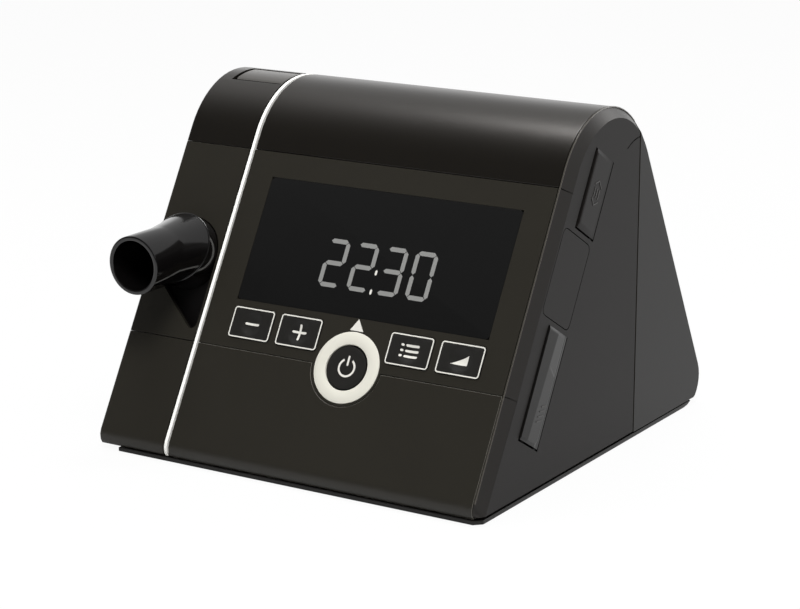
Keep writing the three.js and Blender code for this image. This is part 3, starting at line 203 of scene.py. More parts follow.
# Modifiers that round the edges of a moulded piece and smooth the rest
def smoothing_group():
    group = bpy.data.node_groups.new("smooth_by_edge_angle", "GeometryNodeTree")
    group.interface.new_socket("Geometry", in_out="INPUT", socket_type="NodeSocketGeometry")
    group.interface.new_socket("Geometry", in_out="OUTPUT", socket_type="NodeSocketGeometry")
    start = group.nodes.new("NodeGroupInput")
    end = group.nodes.new("NodeGroupOutput")
    faces = group.nodes.new("GeometryNodeSetShadeSmooth")
    edges = group.nodes.new("GeometryNodeSetShadeSmooth")
    edges.domain = "EDGE"
    angle = group.nodes.new("GeometryNodeInputMeshEdgeAngle")
    test = group.nodes.new("FunctionNodeCompare")
    test.operation = "LESS_EQUAL"
    test.inputs[1].default_value = EDGE_ANGLE
    group.links.new(start.outputs[0], faces.inputs["Geometry"])
    group.links.new(faces.outputs["Geometry"], edges.inputs["Geometry"])
    group.links.new(angle.outputs["Unsigned Angle"], test.inputs[0])
    group.links.new(test.outputs["Result"], edges.inputs["Shade Smooth"])
    group.links.new(edges.outputs["Geometry"], end.inputs[0])
    return group


SMOOTHING = smoothing_group()


def shade_smooth(piece):
    smooth = piece.modifiers.new("smooth", "NODES")
    smooth.node_group = SMOOTHING


def soften(piece, width=EDGE_ROUND):
    weld = piece.modifiers.new("weld", "WELD")
    weld.merge_threshold = WELD
    flat = piece.modifiers.new("flat", "DECIMATE")
    flat.decimate_type = "DISSOLVE"
    flat.angle_limit = FLAT_ANGLE
    bevel = piece.modifiers.new("edges", "BEVEL")
    bevel.width = width
    bevel.segments = EDGE_SEGMENTS
    bevel.limit_method = "ANGLE"
    bevel.angle_limit = EDGE_ANGLE
    bevel.use_clamp_overlap = True
    shade_smooth(piece)
    weigh = piece.modifiers.new("weigh", "WEIGHTED_NORMAL")
    weigh.keep_sharp = True


# Materials. The curve of screen colours is straight below its knee
SCREEN_WHITE = 255
CURVE_KNEE = 0.04045
CURVE_SLOPE = 12.92
CURVE_OFFSET = 0.055
CURVE_POWER = 2.4
GRAIN_DETAIL = 3
GRAIN_RELIEF_SHARE = 0.25
MOTTLE_SIZE = 30 * MM
MOTTLE_DETAIL = 2
PORE_SHADE = 0.35
WARM_TINT = (1, 0.95, 0.91, 1)


def linear(value):
    share = value / SCREEN_WHITE
    if share <= CURVE_KNEE:
        return share / CURVE_SLOPE
    return ((share + CURVE_OFFSET) / (1 + CURVE_OFFSET)) ** CURVE_POWER


def rgb(red, green, blue):
    """A colour as it shows on a screen, 0 to 255, in linear light."""
    return (linear(red), linear(green), linear(blue), 1.0)


def shaded(colour, share):
    return tuple(channel * share for channel in colour[:3]) + (1.0,)


def moulded(name, colour, roughness, grain=0.35, bump=0.12, uneven=0.08, specular=0.5):
    """A moulded plastic with a fine grain and a slightly uneven gloss and colour. grain in mm."""
    material = bpy.data.materials.new(name)
    material.use_nodes = True
    tree = material.node_tree
    shader = tree.nodes["Principled BSDF"]
    shader.inputs["Specular IOR Level"].default_value = specular
    place = tree.nodes.new("ShaderNodeTexCoord")
    fine = tree.nodes.new("ShaderNodeTexNoise")
    fine.inputs["Scale"].default_value = 1 / (grain * MM)
    fine.inputs["Detail"].default_value = GRAIN_DETAIL
    broad = tree.nodes.new("ShaderNodeTexNoise")
    broad.inputs["Scale"].default_value = 1 / MOTTLE_SIZE
    broad.inputs["Detail"].default_value = MOTTLE_DETAIL
    tree.links.new(place.outputs["Object"], fine.inputs["Vector"])
    tree.links.new(place.outputs["Object"], broad.inputs["Vector"])
    tint = tree.nodes.new("ShaderNodeMix")
    tint.data_type = "RGBA"
    tint.inputs["A"].default_value = shaded(colour, 1 - uneven)
    tint.inputs["B"].default_value = shaded(colour, 1 + uneven)
    tree.links.new(broad.outputs["Fac"], tint.inputs["Factor"])
    tree.links.new(tint.outputs["Result"], shader.inputs["Base Color"])
    gloss = tree.nodes.new("ShaderNodeMapRange")
    gloss.inputs["To Min"].default_value = roughness * (1 - uneven)
    gloss.inputs["To Max"].default_value = roughness * (1 + uneven)
    tree.links.new(fine.outputs["Fac"], gloss.inputs["Value"])
    tree.links.new(gloss.outputs["Result"], shader.inputs["Roughness"])
    if bump:
        relief = tree.nodes.new("ShaderNodeBump")
        relief.inputs["Strength"].default_value = bump
        relief.inputs["Distance"].default_value = grain * MM * GRAIN_RELIEF_SHARE
        tree.links.new(fine.outputs["Fac"], relief.inputs["Height"])
        tree.links.new(relief.outputs["Normal"], shader.inputs["Normal"])
    return material


def metal(name, colour, roughness):
    material = moulded(name, colour, roughness, grain=0.6, bump=0.05)
    material.node_tree.nodes["Principled BSDF"].inputs["Metallic"].default_value = 1.0
    return material


def porous(name, colour, hole):
    """An open foam or fleece, with holes or fibres of the given size in mm."""
    material = moulded(name, colour, roughness=0.95, grain=hole, bump=1, uneven=0.2, specular=0.1)
    tree = material.node_tree
    cells = tree.nodes.new("ShaderNodeTexVoronoi")
    cells.inputs["Scale"].default_value = 1 / (hole * MM)
    place = next(n for n in tree.nodes if n.type == "TEX_COORD")
    shade = tree.nodes.new("ShaderNodeMix")
    shade.data_type = "RGBA"
    shade.inputs["A"].default_value = shaded(colour, PORE_SHADE)
    shade.inputs["B"].default_value = colour
    tree.links.new(place.outputs["Object"], cells.inputs["Vector"])
    tree.links.new(cells.outputs["Distance"], shade.inputs["Factor"])
    tree.links.new(shade.outputs["Result"], tree.nodes["Principled BSDF"].inputs["Base Color"])
    return material


# casing and side_casing are one dark plastic in two tones: the side's copy is darker and less glossy than the
# front's, a painted shade for how light falls on each side.
MATERIALS = {
    "casing": moulded("casing", rgb(36, 34, 29), 0.4, grain=0.3, bump=0.1, specular=0.32),
    "side_casing": moulded("side_casing", rgb(23, 21, 20), 0.42, grain=0.3, bump=0.1, specular=0.12),
    "base_plastic": moulded("base_plastic", rgb(22, 21, 20), 0.45, grain=0.4, bump=0.15, specular=0.3),
    "gloss_black": moulded("gloss_black", rgb(9, 8, 8), 0.09, grain=3, bump=0.0, uneven=0.04),
    "window": moulded("window", rgb(21, 21, 21), 0.3, grain=1, bump=0.0, uneven=0.02, specular=0.08),
    "key": moulded("key", rgb(24, 23, 21), 0.5, grain=0.45, bump=0.3),
    "trim_white": moulded("trim_white", rgb(250, 249, 244), 0.4, grain=0.8, bump=0.03, uneven=0.02),
    "ring_white": moulded("ring_white", rgb(206, 204, 193), 0.45, grain=0.5, bump=0.05, uneven=0.02),
    "rubber": moulded("rubber", rgb(24, 24, 26), 0.85, grain=0.5, bump=0.3),
    "silicone": moulded("silicone", rgb(138, 140, 142), 0.7, grain=0.8, bump=0.05),
    "board": moulded("board", rgb(26, 82, 52), 0.45, grain=1.5, bump=0.1, uneven=0.15),
    "lcd": moulded("lcd", rgb(80, 84, 90), 0.2, grain=2, bump=0.0),
    "inner_plastic": moulded("inner_plastic", rgb(185, 187, 189), 0.5, grain=0.5, bump=0.08),
    "steel": metal("steel", rgb(180, 182, 185), 0.32),
    "foam": porous("foam", rgb(93, 96, 102), 0.8),
    "filter_white": porous("filter_white", rgb(222, 223, 224), 0.35),
}
INK_WHITE = moulded("ink_white", rgb(208, 206, 199), 0.6, grain=0.2, bump=0.05, uneven=0.02)
LCD_GREY = moulded("lcd_segments", rgb(128, 128, 126), 0.5, grain=0.2, bump=0.0, uneven=0.03)
# The top covers get a darker, glossier copy of the casing: painted shade on the crown.
CROWN_SHADE = moulded("crown_painted_shade", rgb(17, 15, 12), 0.31, grain=0.3, bump=0.08)
# The side shell's chamfer rim gets a near-black, glossier copy of the casing: painted shade, with more gloss for a
# highlight.
RIM_SHADE = moulded("rim_painted_shade", rgb(9, 8, 7), 0.36, grain=0.3, bump=0.1, specular=0.38)
# The rear shell's rim faces and rounded edges get a near-black copy of the casing: painted shade.
REAR_RIM_SHADE = moulded("rear_rim_painted_shade", rgb(12, 11, 11), 0.5, grain=0.3, bump=0.1, specular=0.08)
# The lower door gets a darker copy of the casing: painted shade.
FLAP_SHADE = moulded("flap_painted_shade", rgb(18, 17, 16), 0.34, grain=0.3, bump=0.1, specular=0.28)
for warm in (CROWN_SHADE, RIM_SHADE):
    warm.node_tree.nodes["Principled BSDF"].inputs["Specular Tint"].default_value = WARM_TINT
OWN_MATERIALS = {
    "top_cover": CROWN_SHADE,
    "side_top_cover": CROWN_SHADE,
    "upper_door_pin": moulded("blackened_pin", rgb(16, 16, 16), 0.5, grain=0.3, bump=0.05),
    # The recess liner's own black satin; the release button's side walls reuse it as painted shade.
    "recess_liner": moulded("recess_satin_and_gap_shade", rgb(9, 8, 8), 0.5, grain=0.4, bump=0.1, specular=0.2),
}
OWN_MATERIALS["lower_door_pin"] = OWN_MATERIALS["upper_door_pin"]
# The rear shell's right-facing faces get a darker copy of the casing: painted shade on that side.
REAR_SIDE_SHADE = moulded("rear_side_painted_shade", rgb(27, 26, 25), 0.42, grain=0.3, bump=0.1, specular=0.2)
MARK_SATIN = moulded("mark_satin", rgb(44, 42, 40), 0.35, grain=0.4, bump=0.05, specular=0.3)
# A light, glossy bead laid along the side panel's crest: a painted highlight line.
CREST_HIGHLIGHT = moulded("crest_painted_highlight", rgb(62, 59, 54), 0.22, grain=0.5, bump=0.03)
# A light copy of the casing for rounded edges: a painted highlight along the seams.
SEAM_HIGHLIGHT = moulded("seam_painted_highlight", rgb(118, 115, 108), 0.4, grain=0.3, bump=0.1, specular=0.4)
# A lighter copy of the casing for the release button: a painted highlight.
BUTTON_HIGHLIGHT = moulded("button_painted_highlight", rgb(60, 58, 55), 0.3, grain=0.5, bump=0.05)


def dress_nodes():
    slots = {part["node"]: part["material_slot"] for part in frame["record"]["subparts"]}
    for name, node in nodes.items():
        node.data.materials.clear()
        node.data.materials.append(OWN_MATERIALS.get(name, MATERIALS[slots[name]]))
        plain = FINE_EDGE_ROUND if slots[name] in FINE_EDGED else EDGE_ROUND
        soften(node, OWN_EDGES.get(name, plain))
    # The lower front panel's rounded edges are painted light: a painted highlight along its seams.
    paint_edges(nodes["lower_front_panel"], SEAM_HIGHLIGHT)


def material_place(mesh, material):
    """The place of a material among a mesh's materials, where it is added if it is new."""
    if mesh.materials.find(material.name) < 0:
        mesh.materials.append(material)
    return mesh.materials.find(material.name)


def paint_edges(piece, material):
    """The rounded edges get another material, for a painted highlight or painted shade."""
    piece.modifiers["edges"].material = material_place(piece.data, material)


def paint_faces(piece, material, wanted):
    """The wanted faces get another material, for a painted highlight or painted shade."""
    index = material_place(piece.data, material)
    for polygon in piece.data.polygons:
        if wanted(polygon):
            polygon.material_index = index


# Camera, floor and light
def look_at(thing, place, target):
    thing.location = place
    thing.rotation_euler = (Vector(target) - Vector(place)).to_track_quat("-Z", "Y").to_euler()


def make_camera():
    data = bpy.data.cameras.new("camera")
    data.lens = LENS
    data.sensor_width = SENSOR
    data.clip_start, data.clip_end = CLIP
    camera = bpy.data.objects.new("camera", data)
    bpy.context.scene.collection.objects.link(camera)
    look_at(camera, CAMERA_AT, CAMERA_TARGET)
    bpy.context.scene.camera = camera


# The world is brighter behind the object, and above a band over the horizon it is a little darker
FLOOR_SIZE = 12.0
FLOOR_WHITE_SHARE = 0.94
FLOOR_GREY = 0.62
FLOOR_REFLECTION_SHADE = (-0.12, 0.12)
WORLD_TURN = (-0.4, 0.35)
WORLD_LEVELS = (0.1, 1.0)
WORLD_BAND = (0.25, 0.5)
WORLD_BAND_LEVELS = (1.6, 0.9)


def calculated(tree, operation, first, second):
    """One value worked out from two others, each of them an output or a number."""
    node = tree.nodes.new("ShaderNodeMath")
    node.operation = operation
    for socket, value in zip(node.inputs, (first, second)):
        if isinstance(value, float):
            socket.default_value = value
        else:
            tree.links.new(value, socket)
    return node.outputs["Value"]


def eased(tree, value, ends, levels=(0.0, 1.0)):
    """A soft step between two levels, where the value goes from one end to the other."""
    node = tree.nodes.new("ShaderNodeMapRange")
    node.interpolation_type = "SMOOTHSTEP"
    node.inputs["From Min"].default_value, node.inputs["From Max"].default_value = ends
    node.inputs["To Min"].default_value, node.inputs["To Max"].default_value = levels
    tree.links.new(value, node.inputs["Value"])
    return node.outputs["Result"]


def place_axes(tree, kind):
    """The outputs X, Y and Z of a texture coordinate."""
    place = tree.nodes.new("ShaderNodeTexCoord")
    split = tree.nodes.new("ShaderNodeSeparateXYZ")
    tree.links.new(place.outputs[kind], split.inputs["Vector"])
    return split.outputs


def mixed(tree, amount, first, second, output):
    """Two shaders, mixed and sent to the output."""
    mix = tree.nodes.new("ShaderNodeMixShader")
    tree.links.new(amount, mix.inputs["Fac"])
    tree.links.new(first.outputs[0], mix.inputs[1])
    tree.links.new(second.outputs[0], mix.inputs[2])
    tree.links.new(mix.outputs["Shader"], output.inputs["Surface"])


def white_amount(tree):
    """How white a ray sees the floor. Its reflections grow darker towards the front: a painted shade in the
    floor's reflections, like the shade under a large object."""
    path = tree.nodes.new("ShaderNodeLightPath")
    fade = eased(tree, place_axes(tree, "Object")["Y"], FLOOR_REFLECTION_SHADE)
    mirrored = calculated(tree, "MULTIPLY", fade, path.outputs["Is Glossy Ray"])
    seen = calculated(tree, "MAXIMUM", path.outputs["Is Camera Ray"], mirrored)
    seen = calculated(tree, "MAXIMUM", seen, path.outputs["Is Transmission Ray"])
    return calculated(tree, "MULTIPLY", seen, FLOOR_WHITE_SHARE)


def make_floor():
    half = FLOOR_SIZE / 2
    corners = [(-half, -half, 0), (half, -half, 0), (half, half, 0), (-half, half, 0)]
    mesh = mesh_of("floor", corners, [(0, 1, 2, 3)], smooth=False)
    floor = bpy.data.objects.new("floor", mesh)
    bpy.context.scene.collection.objects.link(floor)
    material = bpy.data.materials.new("floor")
    material.use_nodes = True
    tree = material.node_tree
    tree.nodes.clear()
    matte = tree.nodes.new("ShaderNodeBsdfDiffuse")
    matte.inputs["Color"].default_value = (FLOOR_GREY, FLOOR_GREY, FLOOR_GREY, 1.0)
    white = tree.nodes.new("ShaderNodeEmission")
    mixed(tree, white_amount(tree), matte, white, tree.nodes.new("ShaderNodeOutputMaterial"))
    mesh.materials.append(material)


def make_world():
    world = bpy.data.worlds.new("studio")
    bpy.context.scene.world = world
    world.use_nodes = True
    tree = world.node_tree
    tree.nodes.clear()
    grey = tree.nodes.new("ShaderNodeBackground")
    axes = place_axes(tree, "Generated")
    level = eased(tree, axes["Y"], WORLD_TURN, WORLD_LEVELS)
    band = eased(tree, axes["Z"], WORLD_BAND, WORLD_BAND_LEVELS)
    tree.links.new(calculated(tree, "MULTIPLY", level, band), grey.inputs["Strength"])
    white = tree.nodes.new("ShaderNodeBackground")
    seen = tree.nodes.new("ShaderNodeLightPath").outputs["Is Camera Ray"]
    mixed(tree, seen, grey, white, tree.nodes.new("ShaderNodeOutputWorld"))


# Lamps: place, target, width and height, watts
LAMPS = {
    "key": ((0.42, -0.62, 1.22), (0, 0, 0.06), (0.6, 0.6), 19.5),
    "top": ((-0.1, 0.2, 1.1), (0, 0, 0.1), (0.6, 0.2), 7.0),
    "rim": ((0.65, 1.1, 0.5), (0, 0, 0.1), (0.5, 0.5), 3),
}


def softbox(name, place, target, size, watts):
    data = bpy.data.lights.new(name, "AREA")
    data.shape = "RECTANGLE"
    data.size, data.size_y = size
    data.energy = watts
    lamp = bpy.data.objects.new(name, data)
    bpy.context.scene.collection.objects.link(lamp)
    look_at(lamp, Vector(place), Vector(target))
    return lamp


def make_lights():
    lamps = {name: softbox(name, *values) for name, values in LAMPS.items()}
    lamps["key"].visible_glossy = False


# The elbow: a level tube that flows out of a round collar
def slope_point(x, up, out):
    return SLOPE @ Vector((x, up, out))


TUBE_RADIUS = 11.4 * MM
TUBE_BORE = 9.6 * MM
TUBE_CROSSING = 3.3 * MM
TUBE_REACH = 30.5 * MM
RIM_ROUND = 0.5 * MM
COLLAR_RADIUS = 14.3 * MM
COLLAR_HEIGHT = 6.1 * MM
COLLAR_DOME = 0.3 * MM
COLLAR_EDGE = 0.45 * MM
COLLAR_EDGE_STEPS = 4
COLLAR_FLOOR = -4.1 * MM
NECK_RADIUS = 11.3 * MM
NECK_FOOT = -11 * MM
FLARE = 13 * MM
FLARE_STRAIGHT = 0.8
FLARE_ROOM = 2.6 * MM
FLARE_STEPS = 12
FLARE_LEAST_ROOM = 0.05 * MM
RIM_STEPS = 4
HALVINGS = 40


def collar_height(radius):
    """Height of the collar's domed face at a distance from its axis."""
    share = min(radius / COLLAR_RADIUS, 1.0)
    return COLLAR_HEIGHT + COLLAR_DOME * (1 - share ** 2)


def make_elbow():
    centre = TO_SLOPE @ Vector(joints["elbow_swivel"]["pos_m"])
    x0, up0 = centre.x, centre.y
    root = slope_point(x0, up0, TUBE_CROSSING)
    forward = Vector((0, -1, 0))

    def tube_point(angle, radius, along):
        ring = Vector((math.cos(angle), 0, math.sin(angle))) * radius
        return root + forward * along + ring

    def collar_point(angle, radius, out):
        return slope_point(x0 + radius * math.cos(angle), up0 + radius * math.sin(angle), out)

    def joint_with_collar(angle):
        """How far along the tube leaves the collar, found by halving."""
        low, high = 0.0, TUBE_REACH
        for _ in range(HALVINGS):
            middle = (low + high) / 2
            local = TO_SLOPE @ tube_point(angle, TUBE_RADIUS, middle)
            radius = math.hypot(local.x - x0, local.y - up0)
            inside = radius < COLLAR_RADIUS and local.z < collar_height(radius)
            low, high = (middle, high) if inside else (low, middle)
        return (low + high) / 2

    def blend_column(angle):
        along = joint_with_collar(angle)
        corner = tube_point(angle, TUBE_RADIUS, along)
        local = TO_SLOPE @ corner
        radius = math.hypot(local.x - x0, local.y - up0)
        around = math.atan2(local.y - up0, local.x - x0)
        room = max(COLLAR_RADIUS - radius, FLARE_LEAST_ROOM)
        outer = radius + max(room - COLLAR_EDGE, room / 2)
        start = tube_point(angle, TUBE_RADIUS, along + FLARE * min(room / FLARE_ROOM, 1.0))
        end = collar_point(around, outer, collar_height(outer))
        corner = corner.lerp((start + end) / 2, FLARE_STRAIGHT)
        column = []
        for i in range(FLARE_STEPS + 1):
            t = i / FLARE_STEPS
            column.append(start * (1 - t) ** 2 + corner * 2 * t * (1 - t) + end * t ** 2)
        for i in range(1, COLLAR_EDGE_STEPS + 1):
            turn = math.pi / 2 * i / COLLAR_EDGE_STEPS
            r = outer + (COLLAR_RADIUS - outer) * math.sin(turn)
            column.append(collar_point(around, r, COLLAR_HEIGHT - COLLAR_EDGE * (1 - math.cos(turn))))
        return column, around

    columns = [blend_column(angle) for angle in ROUND_ANGLES]
    rings = []
    rings.append([collar_point(a, TUBE_BORE, NECK_FOOT) for a in ROUND_ANGLES])
    rings.append([bore_corner(a, root) for a in ROUND_ANGLES])
    rings.append([tube_point(a, TUBE_BORE, TUBE_REACH - RIM_ROUND) for a in ROUND_ANGLES])
    rim_middle = (TUBE_RADIUS + TUBE_BORE) / 2
    half_wall = (TUBE_RADIUS - TUBE_BORE) / 2
    for i in range(1, 2 * RIM_STEPS):
        turn = math.pi * i / (2 * RIM_STEPS)
        radius = rim_middle - half_wall * math.cos(turn)
        along = TUBE_REACH - RIM_ROUND + RIM_ROUND * math.sqrt(math.sin(turn))
        rings.append([tube_point(a, radius, along) for a in ROUND_ANGLES])
    rings.append([tube_point(a, TUBE_RADIUS, TUBE_REACH - RIM_ROUND) for a in ROUND_ANGLES])
    for i in range(len(columns[0][0])):
        rings.append([column[i] for column, _ in columns])
    arounds = [around for _, around in columns]
    rings.append([collar_point(a, COLLAR_RADIUS, COLLAR_FLOOR) for a in arounds])
    rings.append([collar_point(a, NECK_RADIUS, COLLAR_FLOOR) for a in arounds])
    rings.append([collar_point(a, NECK_RADIUS, NECK_FOOT) for a in arounds])
    mesh = skin("elbow_shell", rings, closed=True)
    piece = link("elbow_shell", mesh, "elbow", MATERIALS["gloss_black"])
    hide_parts("elbow")
    shade_smooth(piece)


def bore_corner(angle, root):
    """Where the level bore and the neck's bore meet, on the plane half way between them."""
    level = Vector((0, -1, 0))
    outward = (SLOPE.to_3x3() @ Vector((0, 0, 1))).normalized()
    normal = (level + outward).normalized()
    ring = Vector((math.cos(angle), 0, math.sin(angle))) * TUBE_BORE
    start = root + ring
    along = -normal.dot(start - root) / normal.dot(level)
    return start + level * along


# Printed marks: thin films that follow the surface below them
def bar(x0, y0, x1, y1, width, round_start=True):
    """A stroke with round ends. Its start can be square."""
    along = math.atan2(y1 - y0, x1 - x0)
    radius = width / 2
    points = []
    for i in range(CORNER_STEPS + 1):
        angle = along - math.pi / 2 + math.pi * i / CORNER_STEPS
        points.append((x1 + radius * math.cos(angle), y1 + radius * math.sin(angle)))
    for i in range(CORNER_STEPS + 1):
        angle = along + math.pi / 2 + math.pi * i / CORNER_STEPS
        if round_start or i in (0, CORNER_STEPS):
            points.append((x0 + radius * math.cos(angle), y0 + radius * math.sin(angle)))
    return points


def printed(name, outlines, surface, matrix, body, material, pitch=PRINT_PITCH, film=INK):
    """Films of the given outlines, cut into a grid so that they can bend."""
    bm = bmesh.new()
    for points in outlines:
        bm.faces.new([bm.verts.new((x, y, 0)) for x, y in points])
    for axis in (0, 1):
        places = [v.co[axis] for v in bm.verts]
        start, end = min(places), max(places)
        normal = [0.0, 0.0, 0.0]
        normal[axis] = 1.0
        for i in range(1, int((end - start) / pitch) + 1):
            point = [0.0, 0.0, 0.0]
            point[axis] = start + i * pitch
            geometry = bm.verts[:] + bm.edges[:] + bm.faces[:]
            bmesh.ops.bisect_plane(bm, geom=geometry, plane_co=point, plane_no=normal)
    raised = bmesh.ops.extrude_face_region(bm, geom=bm.faces[:])["geom"]
    top = {v for v in raised if isinstance(v, bmesh.types.BMVert)}
    for v in bm.verts:
        v.co.z = surface(v.co.x, v.co.y) + (film if v in top else -film)
    bm.transform(matrix)
    bmesh.ops.recalc_face_normals(bm, faces=bm.faces)
    mesh = bpy.data.meshes.new(name)
    bm.to_mesh(mesh)
    bm.free()
    return link(name, mesh, body, material)


def flat(x, y):
    """A surface without relief."""
    return 0.0


def printed_frame(name, half_width, half_height, matrix, height, body):
    """A thin printed line round a rounded rectangle."""
    rings = []
    for inset, level in ((0, -INK), (0, INK), (OUTLINE_WIDTH, INK), (OUTLINE_WIDTH, -INK)):
        radius = max(OUTLINE_RADIUS - inset, OUTLINE_LEAST_RADIUS)
        points = rounded_rectangle(
            inset - half_width, inset - half_height, half_width - inset, half_height - inset, radius
        )
        rings.append(placed(points, matrix, height + level))
    mesh = skin(name, rings, closed=True)
    mesh.polygons.foreach_set("use_smooth", [False] * len(mesh.polygons))
    return link(name, mesh, body, INK_WHITE)


# Keys
def edge_distance(half_width, half_height, radius, angle):
    """From the middle of a rounded rectangle to its edge, in one direction."""
    c, s = abs(math.cos(angle)), abs(math.sin(angle))
    reach = min(half_width / max(c, TINY), half_height / max(s, TINY))
    cx, cy = half_width - radius, half_height - radius
    if reach * c > cx and reach * s > cy:
        along = c * cx + s * cy
        reach = along + math.sqrt(max(along ** 2 - cx ** 2 - cy ** 2 + radius ** 2, 0.0))
    return reach


def dimple(x, y):
    share = min(math.hypot(x, y) / KEY_DIMPLE_RADIUS, 1.0)
    return -KEY_DIMPLE_DEPTH * (1 - share ** 2) ** DIMPLE_POWER


def key_icon(name):
    reach = ICON_REACH
    if name == "key_minus":
        return [bar(-reach, 0, reach, 0, ICON_STROKE)]
    if name == "key_plus":
        start = ICON_STROKE / 2
        outlines = [bar(-reach, 0, reach, 0, ICON_STROKE)]
        for sign in (1, -1):
            outlines.append(bar(0, sign * start, 0, sign * reach, ICON_STROKE, round_start=False))
        return outlines
    if name == "key_menu":
        outlines = []
        for row in (-1, 0, 1):
            y = row * MENU_PITCH
            outlines.append(bar(MENU_DOTS[0], y, MENU_DOTS[1], y, ICON_STROKE))
            outlines.append(bar(MENU_BARS[0], y, MENU_BARS[1], y, ICON_STROKE))
        return outlines
    return [RAMP_POINTS]


def make_key(name):
    low, high = slope_box(name)
    middle = (low + high) / 2
    half_width = (high.x - low.x) / 2 - KEY_FLANGE
    half_height = (high.y - low.y) / 2 - KEY_FLANGE
    top = high.z
    matrix = SLOPE @ Matrix.Translation((middle.x, middle.y, top))
    rings = []
    for share in DIMPLE_SHARES:
        points = circle(share * KEY_DIMPLE_RADIUS)
        rings.append([matrix @ Vector((x, y, dimple(x, y))) for x, y in points])
    for turn in KEY_EDGE_TURNS:
        inset = KEY_EDGE * (1 - math.sin(turn))
        level = -KEY_EDGE * (1 - math.cos(turn))
        rings.append(key_ring(matrix, half_width - inset, half_height - inset, level))
    rings.append(key_ring(matrix, half_width, half_height, -KEY_HEIGHT))
    mesh = skin(f"{name}_cap", rings)
    cap = link(f"{name}_cap", mesh, name, MATERIALS["key"])
    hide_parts(name)
    shade_smooth(cap)
    outline = (half_width - OUTLINE_INSET, half_height - OUTLINE_INSET)
    printed_frame(f"{name}_outline", *outline, matrix, 0.0, name)
    icon = f"{name}_icon"
    printed(icon, key_icon(name), dimple, matrix, name, INK_WHITE)


def key_ring(matrix, half_width, half_height, level):
    radius = OUTLINE_RADIUS + OUTLINE_INSET
    ring = []
    for angle in ROUND_ANGLES:
        reach = edge_distance(half_width, half_height, radius, angle)
        ring.append(matrix @ Vector((reach * math.cos(angle), reach * math.sin(angle), level)))
    return ring


# Power ring, power key and the mark above them
RING_INNER = 8.85 * MM
RING_EDGE = 0.25 * MM
EDGE_CUT_SHARE = 0.3
POWER_ARC_RADIUS = 3.3 * MM
POWER_STROKE = 0.8 * MM
POWER_BAR = (1.1 * MM, 4.2 * MM)
POWER_GAP = math.radians(32)
POWER_DISH = 0.25 * MM
POWER_EYE = 0.02 * MM
POWER_SHARES = (0.2, 0.4, 0.6, 0.8, 0.95)
POWER_ARC_STEPS = 48
POWER_PITCH = 1.5 * MM
POINTER_HALF = 2.9 * MM
POINTER_TIP_SHIFT = -0.3 * MM
POINTER_LEVELS = (0.4 * MM, 5 * MM)


def lathe(profile, matrix):
    return [placed(circle(radius), matrix, height) for radius, height in profile]


def make_ring():
    low, high = slope_box("power_ring")
    middle = (low + high) / 2
    outer = (high.x - low.x) / 2
    matrix = SLOPE @ Matrix.Translation((middle.x, middle.y, high.z))
    depth = low.z - high.z
    cut = RING_EDGE * EDGE_CUT_SHARE
    profile = [
        (RING_INNER, depth),
        (RING_INNER, -RING_EDGE),
        (RING_INNER + cut, -cut),
        (RING_INNER + RING_EDGE, 0),
        (outer - RING_EDGE, 0),
        (outer - cut, -cut),
        (outer, -RING_EDGE),
        (outer, depth),
    ]
    mesh = skin("power_ring_band", lathe(profile, matrix), closed=True)
    piece = link("power_ring_band", mesh, "main", MATERIALS["ring_white"])
    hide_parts("power_ring")
    shade_smooth(piece)


def make_power_key():
    low, high = slope_box("power_key")
    middle = (low + high) / 2
    outer = (high.x - low.x) / 2 - (KEY_FLANGE + EDGE_ROUND)
    matrix = SLOPE @ Matrix.Translation((middle.x, middle.y, high.z))

    def dish(x, y):
        share = min(math.hypot(x, y) / outer, 1.0)
        return -POWER_DISH * (1 - share ** 2)

    profile = [(POWER_EYE, -POWER_DISH)]
    for share in POWER_SHARES:
        profile.append((share * outer, dish(share * outer, 0)))
    profile += [(outer, -RING_EDGE / 2), (outer, -KEY_HEIGHT)]
    mesh = skin("power_key_cap", lathe(profile, matrix))
    cap = link("power_key_cap", mesh, "power_key", MATERIALS["key"])
    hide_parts("power_key")
    shade_smooth(cap)
    for i, points in enumerate(power_marks()):
        name = f"power_mark_{i + 1}"
        printed(name, [points], dish, matrix, "power_key", INK_WHITE, POWER_PITCH)


def power_marks():
    """An open ring, and a bar in its gap."""
    start, end = math.pi / 2 + POWER_GAP, math.pi / 2 + FULL_TURN - POWER_GAP
    inner = POWER_ARC_RADIUS - POWER_STROKE / 2
    arc = [start + (end - start) * i / POWER_ARC_STEPS for i in range(POWER_ARC_STEPS + 1)]
    ring = [(math.cos(a), math.sin(a)) for a in arc]
    wide = [((inner + POWER_STROKE) * x, (inner + POWER_STROKE) * y) for x, y in ring]
    narrow = [(inner * x, inner * y) for x, y in reversed(ring)]
    return [wide + narrow, bar(0, POWER_BAR[0], 0, POWER_BAR[1], POWER_STROKE)]


def make_pointer():
    low, high = slope_box("power_ring")
    x, ring_top = (low.x + high.x) / 2, high.y
    foot, tip = (ring_top + level for level in POINTER_LEVELS)
    points = [(x - POINTER_HALF, foot), (x + POINTER_HALF, foot), (x + POINTER_TIP_SHIFT, tip)]
    printed("pointer_mark", [points], flat, SLOPE, "main", INK_WHITE, UNCUT)


# Display: a smooth dark window with seven-segment digits
WINDOW_GROW = 0.22 * MM
WINDOW_EDGE = 0.12 * MM
WINDOW_CORNER = 1.5 * MM
DIGIT_LEFT = 33.0 * MM
DIGIT_LOW = 9.7 * MM
DIGIT_WIDTH = 9.6 * MM
DIGIT_HEIGHT = 18.9 * MM
DIGIT_PITCH = 12.8 * MM
SEGMENT_WIDTH = 1.75 * MM
SEGMENT_GAP = 0.16 * MM
DIGITS = ["abged", "abged", "abgcd", "abcdef"]
COLON_SHIFT = -1.8 * MM
COLON_LEVELS = (0.1 * MM, 7.6 * MM)
COLON_STROKE = 0.9 * MM
COLON_HEIGHT = 1.1 * MM


